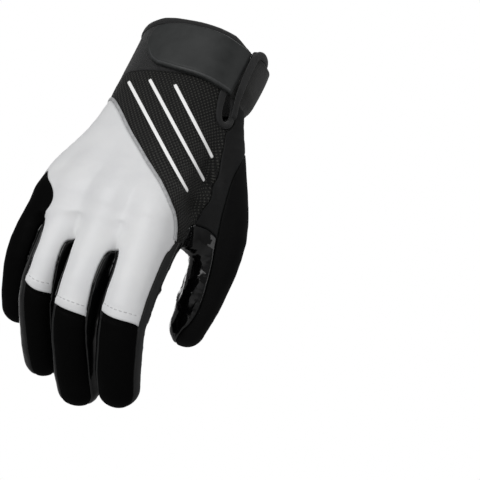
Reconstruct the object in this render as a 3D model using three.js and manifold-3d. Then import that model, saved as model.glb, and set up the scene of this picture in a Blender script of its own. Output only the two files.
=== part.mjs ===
// Curling glove, right hand, worn shape. Millimetres, +Z up along the wrist,
// fingers down, back of the hand towards -Y, thumb towards +X.
// The origin is the centre of the cuff's rim.
import * as THREE from 'three';
import Module from 'manifold-3d';

const wasm = await Module();
wasm.setup();
const { Manifold, Mesh: SolidMesh } = wasm;

// ---------------------------------------------------------------- sizes
const WALL = 1.8;            // cloth and leather wall
const GAP = 0.3;             // clearance between neighbouring pieces
const FINE = 0.13;           // faces flatter than this are merged
const TUBE_SIDES = 12;       // facets round a finger
const TUBE_RINGS = 7;        // rings along a finger, without the tip
const PALM_SIDES = 24;       // facets round the palm and cuff
const SQUARENESS = 2.5;      // superellipse power of the palm sections
const SEAM_BACK = 0.28;      // seam height above a finger's axis, in radii
const SEAM_PALM = 0.5;       // seam height below it, in radii
const BINDING_HEIGHT = 4.7;  // rim tape
const BINDING_OUT = 0.7;     // tape beyond the cuff's face, back of the wrist
const BINDING_PALM = 2.6;    // and on the palm's side, level with the band
const SLIT_TAPE = 4;         // bound edge round the slit
const BAND_IN = 1.1;         // elastic band's inner face above the cuff
const BAND_OUT = 2.9;
const TAB_IN = 1.3;          // strap tab's inner face above the cuff
const TAB_OUT = 3.4;
const LABEL_THICK = 0.8;
const STRIPE_WIDTH = 1.8;
const STRIPE_THICK = 0.7;
const PIPING_WIDTH = 1.7;
const PIPING_OUT = 0.5;

const table = (columns, rows) => rows.map((row) =>
  Object.fromEntries(columns.split(' ').map((name, i) => [name, row[i]])));

// centre line and radius of each finger, from inside the palm to the tip ball
const FINGERS = {
  index: table('x y z r', [[19, -9, -95, 8], [24.5, -13.5, -128, 13.2], [25.5, -11.5, -142, 12.8],
    [26, -3.8, -184, 12.2], [26, 12.2, -206.5, 11.7], [26, 23, -216, 11]]),
  middle: table('x y z r', [[2, -12, -95, 8], [2, -17, -126, 13], [0.6, -14.5, -140, 12.6],
    [-2.8, -3.5, -186, 12], [-4.1, 20, -207.5, 11.4], [-4.5, 34, -215, 11]]),
  ring: table('x y z r', [[-17, -11, -92, 8], [-21, -15, -121, 12.6], [-23.5, -13, -134, 12.2],
    [-28.2, -3.2, -177, 11.5], [-30, 19.4, -196.5, 11], [-30.5, 32, -203.5, 10.8]]),
  little: table('x y z r', [[-31, -7, -85, 7], [-38, -9, -106, 11], [-42, -8, -122, 11.2],
    [-49, -1.2, -154, 10.6], [-52, 13, -172, 10.3], [-53.2, 23, -180, 10]]),
  thumb: table('x y z r', [[19, 5, -46, 10], [27, 9, -62, 14], [35.5, 17, -85, 15.5],
    [45, 27, -115, 14.4], [42.2, 37.4, -145, 12.6], [38.7, 43.5, -165, 10.4]]),
};
// webs between neighbouring fingers and between thumb and index
const WEBS = table('x1 y1 z1 x2 y2 z2 r1 r2', [
  [22, -8.5, -149, 0, -9, -149, 7.5, 7.5], [0, -9, -146, -25, -8, -145, 7.5, 7.5],
  [-26, -8, -135, -43, -6, -133, 7.5, 7.5], [22, -6, -112, 40, 20, -104, 10.8, 10.8],
  [24, -4, -123, 40, 20, -113, 8.5, 8.5], [31, -5, -134, 28.6, -2, -168, 10.4, 8.8],
  [33, -5, -131, 38, 8, -127, 7.6, 7.6]]);
// palm and cuff sections: centre and half sizes
const PALM = table('z x y a b', [[0, 0.6, 0, 37.9, 26.5], [-22, 0.3, 0, 37.7, 25.5], [-46, -0.7, -1, 37.2, 23.5],
  [-62, -1.6, -2, 36.7, 21.8], [-80, -2.9, -4, 37.4, 20.5], [-98, -3.5, -7.5, 39, 18.5],
  [-115, -5.5, -11, 41, 16.5], [-128, -7.2, -13.5, 41.5, 14.5], [-142, -6, -12.5, 36, 11.5]]);

// seams, seen from the back unless the columns say otherwise
const PIPING_LINE = table('across z', [[-38, -56], [-25.2, -70.3], [-12.8, -84.9], [2.7, -100.9], [18.9, -115.9],
  [31.2, -127.4], [35.8, -131.1], [38.9, -134.9], [41, -138.7], [43, -144.7]]);
const SHEAR = 0.5;           // across is x plus this much of y - SHEAR_FROM
const SHEAR_FROM = -14;
const HEMS = { ring: { x: -24.5, z: -186, rise: 0.055 }, middle: { x: 1, z: -195, rise: 0.024 }, index: { x: 29, z: -195, rise: 0.03 } };
const LITTLE_LINE = table('x z', [[-46, -117], [-41.2, -124], [-36.5, -128.8], [-32.8, -133.8], [-31.6, -138.5], [-33.4, -143], [-37, -146.5]]);
const SLOTS = [
  table('x z', [[7.4, -240], [7.4, -200], [8, -189], [8.4, -173], [9.1, -166], [10.6, -160], [13.8, -157.5],
    [16.8, -161], [18, -167.5], [17.4, -182], [18, -200], [18, -240]]),
  table('x z', [[-19.5, -240], [-19.3, -194], [-18.1, -180], [-17.9, -166.5], [-17.4, -160.5], [-16.2, -157], [-13.7, -155],
    [-11.5, -158.5], [-10.2, -166], [-9.6, -175.7], [-9.9, -190], [-9.5, -240]]),
  table('x z', [[-44, -240], [-43.8, -172], [-43.2, -164], [-41.5, -156], [-40.5, -149], [-38, -145.5], [-34.2, -147],
    [-32, -153], [-30.9, -160.4], [-31.3, -168.3], [-32.3, -182], [-32.3, -240]])];
const MESH_SIDE = table('y z', [[-3, -30], [-3, -64], [0, -78.2], [3.4, -91.5], [4.2, -100], [3.6, -117], [2.2, -123.4],
  [-3.2, -130], [-3.4, -135], [-8.3, -144], [-10, -154], [-7.5, -179], [-4.6, -190], [-60, -190]]);
const SIDE_LOW = table('y z', [[6.8, -121.6], [10.5, -120.7], [14.3, -121.9], [18, -128.5], [18, -30]]);
const THUMB_SEAM = table('x z', [[43, -52], [30, -74], [23, -98], [20, -120], [24, -132], [27, -139], [26, -152], [22, -190]]);
const THUMB_BACK = table('z reach', [[-55, 46], [-71, 47.5], [-90, 47], [-110, 48.9], [-125.5, 51.7], [-138.6, 54.3],
  [-153.6, 56.2], [-164, 55.3], [-190, 45]]);
const THUMB_BACK_ANGLE = 25 * Math.PI / 180;
const CUFF_EDGE = table('y z', [[-80, -43], [-2, -43], [12, -38], [80, -38]]);
const RIM_BACK = table('x z', [[-60, -5.2], [-28, -5.2], [-17, -4.2], [-7, -5], [7, -6.4], [19.5, -8], [29, -9.4], [35, -12.5], [60, -14]]);
const RIM_SIDE = table('y z', [[-60, -30], [-13, -13.5], [-6.5, -8.6], [-1, -7], [4.7, -5.7], [12, -3.5], [20, -1], [25.5, 0], [60, 0]]);
const TAB_OUTLINE = table('x z', [[-16.2, -12.7], [-3.4, -11], [9.7, -12], [21.9, -13.1], [33.4, -15.3], [60, -15.3], [60, -45.8],
  [37.5, -45.6], [32.2, -45.7], [21, -44.3], [9, -43.2], [-4.5, -40.7], [-8.1, -39.8], [-12.5, -37], [-15.9, -32.8],
  [-18.7, -28.1], [-20.1, -23.4], [-19.9, -18.5], [-18.6, -15.5]]);
const TAB_END = -12.6;       // the tab's sewn end, in y
const BAND_LOW = table('y z', [[-20, -44.6], [-3, -45.6], [4, -45], [12, -42], [20, -38], [27, -36.5], [80, -36.5]]);
const STRIPES = table('x1 y1 z1 x2 y2 z2', [[-22.3, -21.8, -51.4, 36.6, -3.9, -113.4], [-8.3, -24.1, -50.3, 35.7, -0.6, -96.7],
  [8.2, -24, -51.9, 36.5, -2.8, -83]]);
const STRIPE_FACING = [0.4064, -0.7808, -0.4745];   // the bars are straight as seen from here
const SLIT = table('y z', [[-11.8, 12], [-11.8, -46], [-10.6, -52], [-9, -57], [-7.6, -60.3], [-5.6, -60.3], [-4.8, -57], [-5.4, -51],
  [-8.4, -45.5], [-8.6, 12]]);
const LABEL = table('x z', [[-2, -8], [16.5, -8], [16.5, -36.5], [-2, -36.5]]);

// ---------------------------------------------------------------- solids
const V = (x, y, z) => new THREE.Vector3(x, y, z);

function closed(points, faces) {
  let six = 0;
  for (const [a, b, c] of faces) six += points[a].dot(V().crossVectors(points[b], points[c]));
  const verts = new Float32Array(points.length * 3);
  points.forEach((p, i) => { verts[3 * i] = p.x; verts[3 * i + 1] = p.y; verts[3 * i + 2] = p.z; });
  const tris = new Uint32Array(faces.length * 3);
  faces.forEach((f, i) => {
    tris[3 * i] = f[0];
    tris[3 * i + 1] = six > 0 ? f[1] : f[2];
    tris[3 * i + 2] = six > 0 ? f[2] : f[1];
  });
  return new Manifold(new SolidMesh({ numProp: 3, vertProperties: verts, triVerts: tris }));
}

// rings of equal length joined in order; ends are closed by their own outline
function loft(rings, outline) {
  const n = rings[0].length;
  const points = rings.flat();
  const faces = [];
  for (let k = 0; k + 1 < rings.length; k++) {
    for (let i = 0; i < n; i++) {
      const j = (i + 1) % n;
      const a = k * n + i, b = k * n + j, c = a + n, d = b + n;
      faces.push([a, b, d], [a, d, c]);
    }
  }
  const caps = THREE.ShapeUtils.triangulateShape(outline, []);
  const end = (rings.length - 1) * n;
  const flip = THREE.ShapeUtils.area(outline) > 0;
  for (const [a, b, c] of caps) {
    if (flip) faces.push([c, b, a], [end + a, end + b, end + c]);
    else faces.push([a, b, c], [end + c, end + b, end + a]);
  }
  return closed(points, faces);
}

// outline moved outwards by d, corners kept sharp
function grow(outline, d) {
  const sign = THREE.ShapeUtils.area(outline) > 0 ? 1 : -1;
  const n = outline.length;
  return outline.map((p, i) => {
    const a = outline[(i + n - 1) % n], b = outline[(i + 1) % n];
    const u = new THREE.Vector2(p.x - a.x, p.y - a.y).normalize();
    const v = new THREE.Vector2(b.x - p.x, b.y - p.y).normalize();
    const m = new THREE.Vector2(u.y + v.y, -(u.x + v.x)).normalize();
    const k = Math.max(0.4, m.x * u.y - m.y * u.x);
    return new THREE.Vector2(p.x + sign * m.x * d / k, p.y + sign * m.y * d / k);
  });
}

const flat = (rows, h = 'x', v = 'z') => rows.map((row) => new THREE.Vector2(row[h], row[v]));
const alongY = (outline, y1, y2) => loft([y1, y2].map((y) => outline.map((p) => V(p.x, y, p.y))), outline);
const alongX = (outline, x1, x2) => loft([x1, x2].map((x) => outline.map((p) => V(x, p.x, p.y))), outline);
const across = (outline, y1, y2) => loft([y1, y2].map((y) => outline.map((p) => V(p.x - SHEAR * (y - SHEAR_FROM), y, p.y))), outline);

function circle(n) {
  return Array.from({ length: n }, (_, i) => {
    const t = 2 * Math.PI * i / n;
    return new THREE.Vector2(Math.cos(t), Math.sin(t));
  });
}

// a finger: smooth centre line, round sections, ball end
function tube(rows, extra) {
  const curve = new THREE.CatmullRomCurve3(rows.map((r) => V(r.x, r.y, r.z)), false, 'centripetal');
  const unit = circle(TUBE_SIDES);
  const rings = [];
  const ring = (c, t, r) => {
    const side = V(1, 0, 0).addScaledVector(t, -t.x).normalize();
    const up = V().crossVectors(t, side);
    rings.push(unit.map((q) => c.clone().addScaledVector(side, q.x * r).addScaledVector(up, q.y * r)));
  };
  const last = rows.length - 1;
  for (let k = 0; k <= TUBE_RINGS; k++) {
    const s = k / TUBE_RINGS, f = s * last, i = Math.min(Math.floor(f), last - 1);
    ring(curve.getPoint(s), curve.getTangent(s), rows[i].r + (rows[i + 1].r - rows[i].r) * (f - i) + extra);
  }
  const c = curve.getPoint(1), t = curve.getTangent(1), r = rows[last].r + extra;
  for (const a of [0.5, 0.95, 1.3]) ring(c.clone().addScaledVector(t, r * Math.sin(a)), t, r * Math.cos(a));
  return loft(rings, unit);
}

function bar(w, extra) {
  const a = V(w.x1, w.y1, w.z1), b = V(w.x2, w.y2, w.z2), t = b.clone().sub(a).normalize();
  const side = V(0, 0, 1).addScaledVector(t, -t.z).normalize(), up = V().crossVectors(t, side);
  const unit = circle(8);
  return loft([[a, w.r1], [b, w.r2]].map(([c, r]) => unit.map((q) => c.clone()
    .addScaledVector(side, q.x * (r + extra)).addScaledVector(up, q.y * (r + extra)))), unit);
}

function section(row, extra, sides = PALM_SIDES) {
  return circle(sides).map((q) => {
    const s = (Math.abs(q.x) ** SQUARENESS + Math.abs(q.y) ** SQUARENESS) ** (-1 / SQUARENESS);
    return V(row.x + q.x * s * (row.a + extra), row.y + q.y * s * (row.b + extra), row.z);
  });
}

function palm(extra, lift = 0) {
  const rows = PALM.map((row) => ({ ...row }));
  if (lift) rows.unshift({ ...rows[0], z: lift });
  rows[rows.length - 1].z -= extra;
  return loft(rows.map((row) => section(row, extra)), circle(PALM_SIDES));
}

function hand(extra, lift = 0) {
  let body = palm(extra, lift);
  for (const rows of Object.values(FINGERS)) body = body.add(tube(rows, extra));
  for (const w of WEBS) body = body.add(bar(w, extra));
  return body;
}

const box = (x1, x2, y1, y2, z1, z2) => Manifold.cube([x2 - x1, y2 - y1, z2 - z1]).translate([x1, y1, z1]);

function largest(body) {
  const parts = body.decompose().sort((a, b) => b.volume() - a.volume());
  return parts[0].asOriginal().simplify(FINE).decompose().sort((a, b) => b.volume() - a.volume())[0];
}

// ---------------------------------------------------------------- seam surfaces
// outline, in the plane of one finger, of everything on the back's side of its seam
function fingerSide(rows, level, back) {
  const use = rows.slice(1);
  const edge = back && rows === FINGERS.little;      // the hand's outer edge: this seam lies further forward
  const line = edge ? [new THREE.Vector2(-13.2, -20), new THREE.Vector2(-15.4, -84)]
    : [new THREE.Vector2(-3, -20), new THREE.Vector2(use[0].y * 0.35 - 3, -84)];
  use.forEach((row, i) => {
    const a = use[Math.max(i - 1, 0)], b = use[Math.min(i + 1, use.length - 1)];
    const t = new THREE.Vector2(b.y - a.y, b.z - a.z).normalize();
    const high = level + (edge ? [0.55, 0.25][i] ?? 0 : 0);
    line.push(new THREE.Vector2(row.y + t.y * row.r * high, row.z - t.x * row.r * high));
    if (i === use.length - 1) {
      for (const [k, f] of [[1.0, 0.6], [3, 0.5]]) {
        line.push(new THREE.Vector2(row.y + t.x * row.r * k + t.y * row.r * level * f,
          row.z + t.y * row.r * k - t.x * row.r * level * f));
      }
    }
  });
  const end = line[line.length - 1];
  return back
    ? [...line, new THREE.Vector2(end.x + 30, -280), new THREE.Vector2(-100, -280), new THREE.Vector2(-100, -20)]
    : [...line, new THREE.Vector2(110, end.y - 3), new THREE.Vector2(110, -120), new THREE.Vector2(110, -20)];
}

function sideOfSeam(level, back, d) {
  const rows = [['little', -95], ['little', -49], ['ring', -26], ['middle', -2], ['index', 26], ['index', 95]];
  const outlines = rows.map(([name]) => grow(fingerSide(FINGERS[name], level, back), d));
  return loft(outlines.map((o, i) => o.map((p) => V(rows[i][1], p.x, p.y))), outlines[2]);
}
const backSide = (d) => sideOfSeam(SEAM_BACK, true, d);
const palmSide = (d) => sideOfSeam(-SEAM_PALM, false, d);

const zone = (pts) => pts.map(([x, z]) => new THREE.Vector2(x, z));

// ---------------------------------------------------------------- the glove's shell, cut into panels
const outer = hand(0);
const inner = hand(-WALL, 20);
let rest = outer.subtract(inner);

const pieces = [];
function keep(name, solid, colour, roughness, metalness = 0) {
  pieces.push({ name, solid: largest(solid), colour, roughness, metalness });
}
function take(name, region, colour, roughness) {
  keep(name, rest.intersect(region(0)), colour, roughness);
  rest = rest.subtract(region(GAP));
}

// everything above a line up mm from the cuff's rim, which dips towards the slit
const aboveRim = (up) => {
  const raised = (rows, h) => [...rows.map((row) => new THREE.Vector2(row[h], row.z + up)), new THREE.Vector2(60, 40), new THREE.Vector2(-60, 40)];
  return alongY(raised(RIM_BACK, 'x'), -90, 90).intersect(alongX(raised(RIM_SIDE, 'y'), -90, 90));
};
const underRimTape = aboveRim(-BINDING_HEIGHT - GAP);
const radialFlap = (y) => box(-90, 90, 2, 90, -90, 30).add(box(20, 90, y, 90, -90, 30));

// wrist slit and its bound edge
const slitOutline = flat(SLIT, 'y');
const slitX = (d) => alongX(grow(slitOutline, d), 18, 60);
const tape = slitX(SLIT_TAPE).subtract(slitX(0)).subtract(underRimTape);
const tapeShell = hand(BINDING_OUT).subtract(hand(-WALL, 20));
keep('slit_binding', tapeShell.intersect(tape), 0x0d0e0e, 0.85);
rest = rest.subtract(slitX(SLIT_TAPE + GAP).subtract(aboveRim(-BINDING_HEIGHT))).subtract(slitX(0));

// rim tape
const rimBand = palm(BINDING_OUT).add(palm(BINDING_PALM).intersect(radialFlap(SLIT[SLIT.length - 1].y))).subtract(palm(-WALL - 0.4, 20))
  .intersect(aboveRim(-BINDING_HEIGHT)).subtract(aboveRim(0)).subtract(slitX(0));
keep('cuff_binding', rimBand, 0x0b0c0c, 0.8);
rest = rest.subtract(underRimTape);

// knitted cuff
const cuffOutline = [...flat(CUFF_EDGE, 'y'), new THREE.Vector2(80, 20), new THREE.Vector2(-80, 20)];
take('cuff', (d) => alongX(grow(cuffOutline, d), -90, 90), 0x121313, 0.9);

// thumb: matte back, side panel, glossy palm side
const nx = Math.cos(THUMB_BACK_ANGLE), ny = Math.sin(THUMB_BACK_ANGLE);
const thumbBack = (d) => {
  const rings = THUMB_BACK.map((row) => [[-70, 0], [70, 0], [70, 60], [-70, 60]].map(([s, n]) => {
    const reach = row.reach + n - (n ? 0 : d);
    return V(nx * reach - ny * s, ny * reach + nx * s, row.z);
  }));
  return loft(rings, zone([[-70, 0], [70, 0], [70, 60], [-70, 60]]));
};
take('thumb_back', thumbBack, 0x161717, 0.75);

const sideOutline = [...flat(MESH_SIDE.slice(0, 7), 'y'), ...flat(SIDE_LOW, 'y')];
take('thumb_side', (d) => alongX(grow(sideOutline, d), 24 - d, 90)
  .subtract(box(-90, 40.5 - d, -90, 90, -200, -112 - d)), 0x191a1a, 0.8);

const thumbOutline = [...flat(THUMB_SEAM), new THREE.Vector2(90, -190), new THREE.Vector2(90, -52)];
const thumbPalm = (d) => alongY(grow(thumbOutline, d), -7 - d, 90)
  .subtract(alongX(grow([...flat(MESH_SIDE, 'y'), new THREE.Vector2(-60, -20)], -d + GAP), -90, 90))
  .subtract(alongX(grow(zone([[-60, -136], [-8, -136], [2, -141], [10, -150], [15, -176], [20, -200], [-60, -200]]), -d), -90, 90));
take('thumb_palm', thumbPalm, 0x070808, 0.12);

// line of the piping, as a strip w wide
const pipe = flat(PIPING_LINE, 'across');
const pipeStrip = (w) => {
  const n = pipe.length;
  const normal = pipe.map((p, i) => {
    const a = pipe[Math.max(i - 1, 0)], b = pipe[Math.min(i + 1, n - 1)];
    return new THREE.Vector2(-(b.y - a.y), b.x - a.x).normalize();
  });
  const side = (s) => pipe.map((p, i) => new THREE.Vector2(p.x + normal[i].x * s, p.y + normal[i].y * s));
  return [...side(w / 2), ...side(-w / 2).reverse()];
};

// sides of the fingers: four strips between the two seams
const between = (d) => alongY(grow(zone([[-95, -100], [95, -118], [95, -280], [-95, -280]]), d), -90, 110)
  .subtract(backSide(-d)).subtract(palmSide(-d));
const strip = (outline, slot) => (d) => {
  const side = between(d).intersect(alongY(grow(zone(outline), d), -90, 110));
  return slot ? side.add(alongY(grow(flat(slot), d), -90, 60).intersect(backSide(1)).subtract(palmSide(-d))) : side;
};
take('fourchette_1', strip([[25.5, -142], [26, -240], [-4.3, -240], [-2.8, -186], [0.6, -142]], SLOTS[0]), 0x0a0b0b, 0.15);
take('fourchette_2', strip([[0.3, -137], [-3, -186], [-4.6, -240], [-30.5, -240], [-28.2, -177], [-23.5, -137]], SLOTS[1]), 0x0a0b0b, 0.15);
take('fourchette_3', strip([[-23.8, -127], [-28.5, -177], [-31, -240], [-53, -240], [-49, -154], [-43, -127]], SLOTS[2]), 0x0a0b0b, 0.15);
take('index_side', (d) => strip([[27, -133], [80, -124], [80, -240], [26.3, -240]])(d)
  .subtract(alongX(grow([...flat(MESH_SIDE, 'y'), new THREE.Vector2(-60, -20)], GAP - d), -90, 90)), 0x1b1c1c, 0.7);

// little finger and outer edge
const littleOutline = [...flat(LITTLE_LINE), new THREE.Vector2(-40, -240), new THREE.Vector2(-90, -240), new THREE.Vector2(-90, -118)];
take('little_panel', (d) => backSide(d)
  .add(between(d).intersect(alongY(grow(zone([[-95, -108], [-95, -280], [-53, -280], [-49, -154], [-42, -112]]), d), -90, 110)))
  .intersect(alongY(grow(littleOutline, d), -90, 110)), 0x111212, 0.8);

// matte finger backs beyond the hems
const beyond = (hem, x1, x2) => {
  const line = [0, 1, 2, 3, 4, 5, 6].map((i) => {
    const x = x1 + (x2 - x1) * i / 6;
    return new THREE.Vector2(x, hem.z + hem.rise * Math.min((x - hem.x) ** 2, 130));
  });
  return [...line, new THREE.Vector2(x2, -260), new THREE.Vector2(x1, -260)];
};
for (const [name, x1, x2] of [['ring', -41, -16.5], ['middle', -16.5, 12.3], ['index', 12.3, 45]]) {
  take(`finger_back_${name}`, (d) => backSide(d).intersect(alongY(grow(beyond(HEMS[name], x1, x2), d), -90, 110)), 0x101111, 0.7);
}

// piping, then the two big panels of the back
const meshSide = [...flat(MESH_SIDE, 'y'), new THREE.Vector2(-60, -20)];
const frontOnly = (d) => backSide(d).add(alongX(grow(meshSide, d), 12, 90));
const pipeCut = across(pipeStrip(PIPING_WIDTH + 2 * GAP), -90, 30).intersect(frontOnly(0));
keep('back_piping', hand(PIPING_OUT).subtract(inner).intersect(across(pipeStrip(PIPING_WIDTH), -90, 30))
  .intersect(alongX(grow(meshSide, -0.5), -90, 90)).intersect(backSide(0).add(box(12, 90, -60, 20, -142, -90)))
  .intersect(box(-90, 60, -90, 90, -142, -44)), 0x9a9da0, 0.45);
rest = rest.subtract(pipeCut);
const meshOutline = [...pipe, new THREE.Vector2(90, -152), new THREE.Vector2(90, -20), new THREE.Vector2(-90, -20), new THREE.Vector2(-90, -38)];
take('mesh_panel', (d) => frontOnly(d).intersect(across(grow(meshOutline, d), -90, 90)), 0x17181a, 0.9);
take('back_panel', (d) => frontOnly(d), 0xe9eaeb, 0.5);
keep('palm_panel', rest, 0x060707, 0.1);

// ---------------------------------------------------------------- trim
const layer = (from, to) => hand(to).subtract(hand(from));
const stripeLayer = layer(GAP, GAP + STRIPE_THICK);
STRIPES.forEach((s, i) => {
  const a = V(s.x1, s.y1, s.z1), b = V(s.x2, s.y2, s.z2), facing = V(...STRIPE_FACING);
  const wide = V().crossVectors(b.clone().sub(a), facing).normalize(), along = V().crossVectors(facing, wide).normalize();
  const n = b.clone().sub(a).dot(along), w = STRIPE_WIDTH / 2;
  const outline = zone([[-w, -w / 2], [-w / 2, -w], [n + w / 2, -w], [n + w, -w / 2], [n + w, w / 2], [n + w / 2, w], [-w / 2, w], [-w, w / 2]]);
  const start = facing.clone().multiplyScalar(b.clone().sub(a).dot(facing) / n);
  const ends = [-14, 34].map((depth) => outline.map((p) => a.clone().addScaledVector(along, p.x).addScaledVector(start, p.x)
    .addScaledVector(wide, p.y).addScaledVector(facing, depth)));
  keep(`stripe_${i + 1}`, stripeLayer.intersect(loft(ends, outline)), 0xf2f2f0, 0.5);
});

const ring = (from, to) => palm(to, 20).subtract(palm(from, 30));
const tabZone = (d) => alongY(grow(flat(TAB_OUTLINE), d), -90, TAB_END + d);
keep('strap_tab', ring(TAB_IN, TAB_OUT).intersect(tabZone(0)), 0x2d2f2f, 0.4);
const bandLow = [...flat(BAND_LOW, 'y'), new THREE.Vector2(80, 20), new THREE.Vector2(-20, 20)];
const band = ring(BAND_IN, BAND_OUT).intersect(radialFlap(TAB_END + GAP)).intersect(alongX(bandLow, -90, 90))
  .subtract(box(-90, 0, -90, 90, -90, -38)).subtract(underRimTape).subtract(tabZone(GAP));
keep('strap_band', band, 0x141515, 0.85);
keep('wrist_label', ring(BAND_OUT + GAP, BAND_OUT + GAP + LABEL_THICK).intersect(alongY(flat(LABEL), 2, 90)), 0x202222, 0.8);

// ---------------------------------------------------------------- meshes
const glove = new THREE.Group();
glove.name = 'curling_glove';
for (const piece of pieces) {
  const mesh = piece.solid.getMesh();
  const geometry = new THREE.BufferGeometry();
  geometry.setAttribute('position', new THREE.BufferAttribute(new Float32Array(mesh.vertProperties), 3));
  geometry.setIndex(new THREE.BufferAttribute(new Uint32Array(mesh.triVerts), 1));
  geometry.computeVertexNormals();
  const node = new THREE.Mesh(geometry, new THREE.MeshStandardMaterial({
    color: piece.colour, roughness: piece.roughness, metalness: piece.metalness }));
  node.name = piece.name;
  glove.add(node);
}
export default glove;
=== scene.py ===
"""Curling glove, right hand, in its worn shape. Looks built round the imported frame.
Shapes are worked out in millimetres in the row frame and written in metres."""

import math

import bpy
import numpy as np
from mathutils import Matrix, kdtree


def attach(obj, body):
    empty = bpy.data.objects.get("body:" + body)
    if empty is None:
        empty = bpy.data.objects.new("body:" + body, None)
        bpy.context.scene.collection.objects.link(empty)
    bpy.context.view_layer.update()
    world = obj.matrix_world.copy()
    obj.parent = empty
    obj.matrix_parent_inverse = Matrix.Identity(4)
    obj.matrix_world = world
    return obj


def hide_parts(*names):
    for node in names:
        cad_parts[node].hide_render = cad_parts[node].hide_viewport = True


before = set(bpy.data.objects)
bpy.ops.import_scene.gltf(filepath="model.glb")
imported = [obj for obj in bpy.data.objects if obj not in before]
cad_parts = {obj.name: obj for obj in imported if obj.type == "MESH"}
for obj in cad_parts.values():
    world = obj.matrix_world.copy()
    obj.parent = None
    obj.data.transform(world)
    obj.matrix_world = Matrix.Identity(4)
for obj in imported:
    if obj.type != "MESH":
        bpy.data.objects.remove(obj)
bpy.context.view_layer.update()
GRID = 1.05        # mm between surface points
FINE = 0.5        # mm between points beside a seam
THICK = 1.6                          # wall shown at every edge
SQUARE = 2.5

# ------------------------------------------------------------------ shape tables, mm
FINGERS = {  # x, y, z, radius
    "index": [(19, -9, -95, 8), (24.5, -13.5, -128, 13.2), (25.5, -11.5, -142, 12.8), (26, -3.8, -184, 12.2), (26, 12.2, -206.5, 11.7), (26, 23, -216, 11)],
    "middle": [(2, -12, -95, 8), (2, -17, -126, 13), (0.6, -14.5, -140, 12.6), (-2.8, -3.5, -186, 12), (-4.1, 20, -207.5, 11.4), (-4.5, 34, -215, 11)],
    "ring": [(-17, -11, -92, 8), (-21, -15, -121, 12.6), (-23.5, -13, -134, 12.2), (-28.2, -3.2, -177, 11.5), (-30, 19.4, -196.5, 11), (-30.5, 32, -203.5, 10.8)],
    "little": [(-31, -7, -85, 7), (-38, -9, -106, 11), (-42, -8, -122, 11.2), (-49, -1.2, -154, 10.6), (-52, 13, -172, 10.3), (-53.2, 23, -180, 10)],
    "thumb": [(19, 5, -46, 10), (27, 9, -62, 14), (35.5, 17, -85, 15.5), (45, 27, -115, 14.4), (42.2, 37.4, -145, 12.6), (38.7, 43.5, -165, 10.4)],
}
BULGES = [  # fuller sides where two fingers face each other
    [(2.0, -13, -145, 11.6), (-1.1, -2.2, -186, 11.6), (-2.1, 21, -207.0, 11.1), (-2.4, 34.5, -214.5, 10.8)],
    [(24.2, -9, -150, 11.8), (24.3, -2.6, -184, 11.9), (24.6, 12.6, -206, 11.4), (25, 23, -215.5, 10.8)]]
KNUCKLES = [((24, -11, -147), (1, -11, -146), 9.3), ((0, -11, -146), (-25, -10, -142), 9.0)]
WEBS = [((22, -8.5, -149), (0, -9, -149), 7.5), ((0, -9, -146), (-25, -8, -145), 7.5), ((-26, -8, -135), (-43, -6, -133), 7.5)]
THUMB_WEBS = [((22, -6, -112), (40, 20, -104), 10.5), ((24, -4, -123), (40, 20, -113), 8.5)]
PALM = [(8, 0.6, 0, 37.9, 26.5), (0, 0.6, 0, 37.9, 26.5), (-22, 0.3, 0, 37.7, 25.5), (-46, -0.7, -1, 37.2, 23.5), (-62, -1.6, -2, 36.7, 21.8), (-80, -2.9, -4, 37.4, 20.5),
        (-98, -3.5, -7.5, 39, 18.5), (-115, -5.5, -11, 41, 16.5), (-128, -7.2, -13.5, 41.5, 14.5), (-142, -6, -12.5, 36, 11.5)]
RIM_X = [(-60, -5.2), (-28, -5.2), (-17, -4.2), (-7, -5), (7, -6.4), (19.5, -8), (29, -9.4), (35, -12.5), (60, -14)]
RIM_Y = [(-60, -30), (-13, -13.5), (-6.5, -8.6), (-1, -7), (4.7, -5.7), (12, -3.5), (20, -1), (27, 0), (60, 0)]
PIPING_LINE = [(-60, -38), (-38, -56), (-25.2, -70.3), (-12.8, -84.9), (2.7, -100.9), (18.9, -115.9), (31.2, -127.4), (35.8, -131.1), (38.9, -134.9), (41, -138.7),
               (43, -144.7), (43.6, -152)]          # x + (y + 14) / 2, z
GUSSET = ((31, -5, -136), (28.4, -0.5, -184), 10, 8.2)
CROTCH = ((31, -6, -131), (36, 13, -126), 7.2)
HEEL = (41, 12, -50, 1.9, 17)          # fullness below the band: x, y, z, height, reach
HEMS = {"ring": (-24.5, -186, 0.055), "middle": (1, -195, 0.024), "index": (29, -195, 0.030)}      # x, z, rise
LITTLE_LINE = [(-46, -117), (-41.2, -124), (-36.5, -128.8), (-32.8, -133.8), (-31.6, -138.5), (-33.4, -143), (-37, -146.5)]
SLOTS = [  # x, z of each gap's seam, seen from the back
    [(7.4, -240), (7.4, -200), (8.0, -189), (8.1, -181), (8.4, -173), (9.1, -166), (10.6, -160), (13.8, -157.5), (16.8, -161), (18, -167.5), (18.3, -174), (17.4, -182), (17.7, -190), (18, -200), (18, -240)],
    [(-19.5, -240), (-19.3, -194), (-18.6, -186), (-18.1, -180), (-18, -174), (-17.9, -166.5), (-17.4, -160.5), (-16.2, -157), (-13.7, -155), (-11.5, -158.5), (-10.2, -166), (-9.6, -175.7), (-9.9, -182), (-9.9, -190), (-9.5, -240)],
    [(-44, -240), (-43.8, -172), (-43.2, -164), (-41.5, -156), (-40.5, -149), (-38, -145.5), (-34.2, -147), (-32, -153), (-30.9, -160.4), (-31.3, -168.3), (-31.8, -176.5), (-32.3, -182), (-32.3, -240)]]
MESH_SIDE = [(-3, -30), (-3, -60), (-3, -66), (-1.2, -72.2), (0, -78.2), (1.6, -84.5), (3.4, -91.5), (4.2, -99.9), (4.1, -109.7), (3.6, -117), (2.2, -123.4)]
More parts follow.
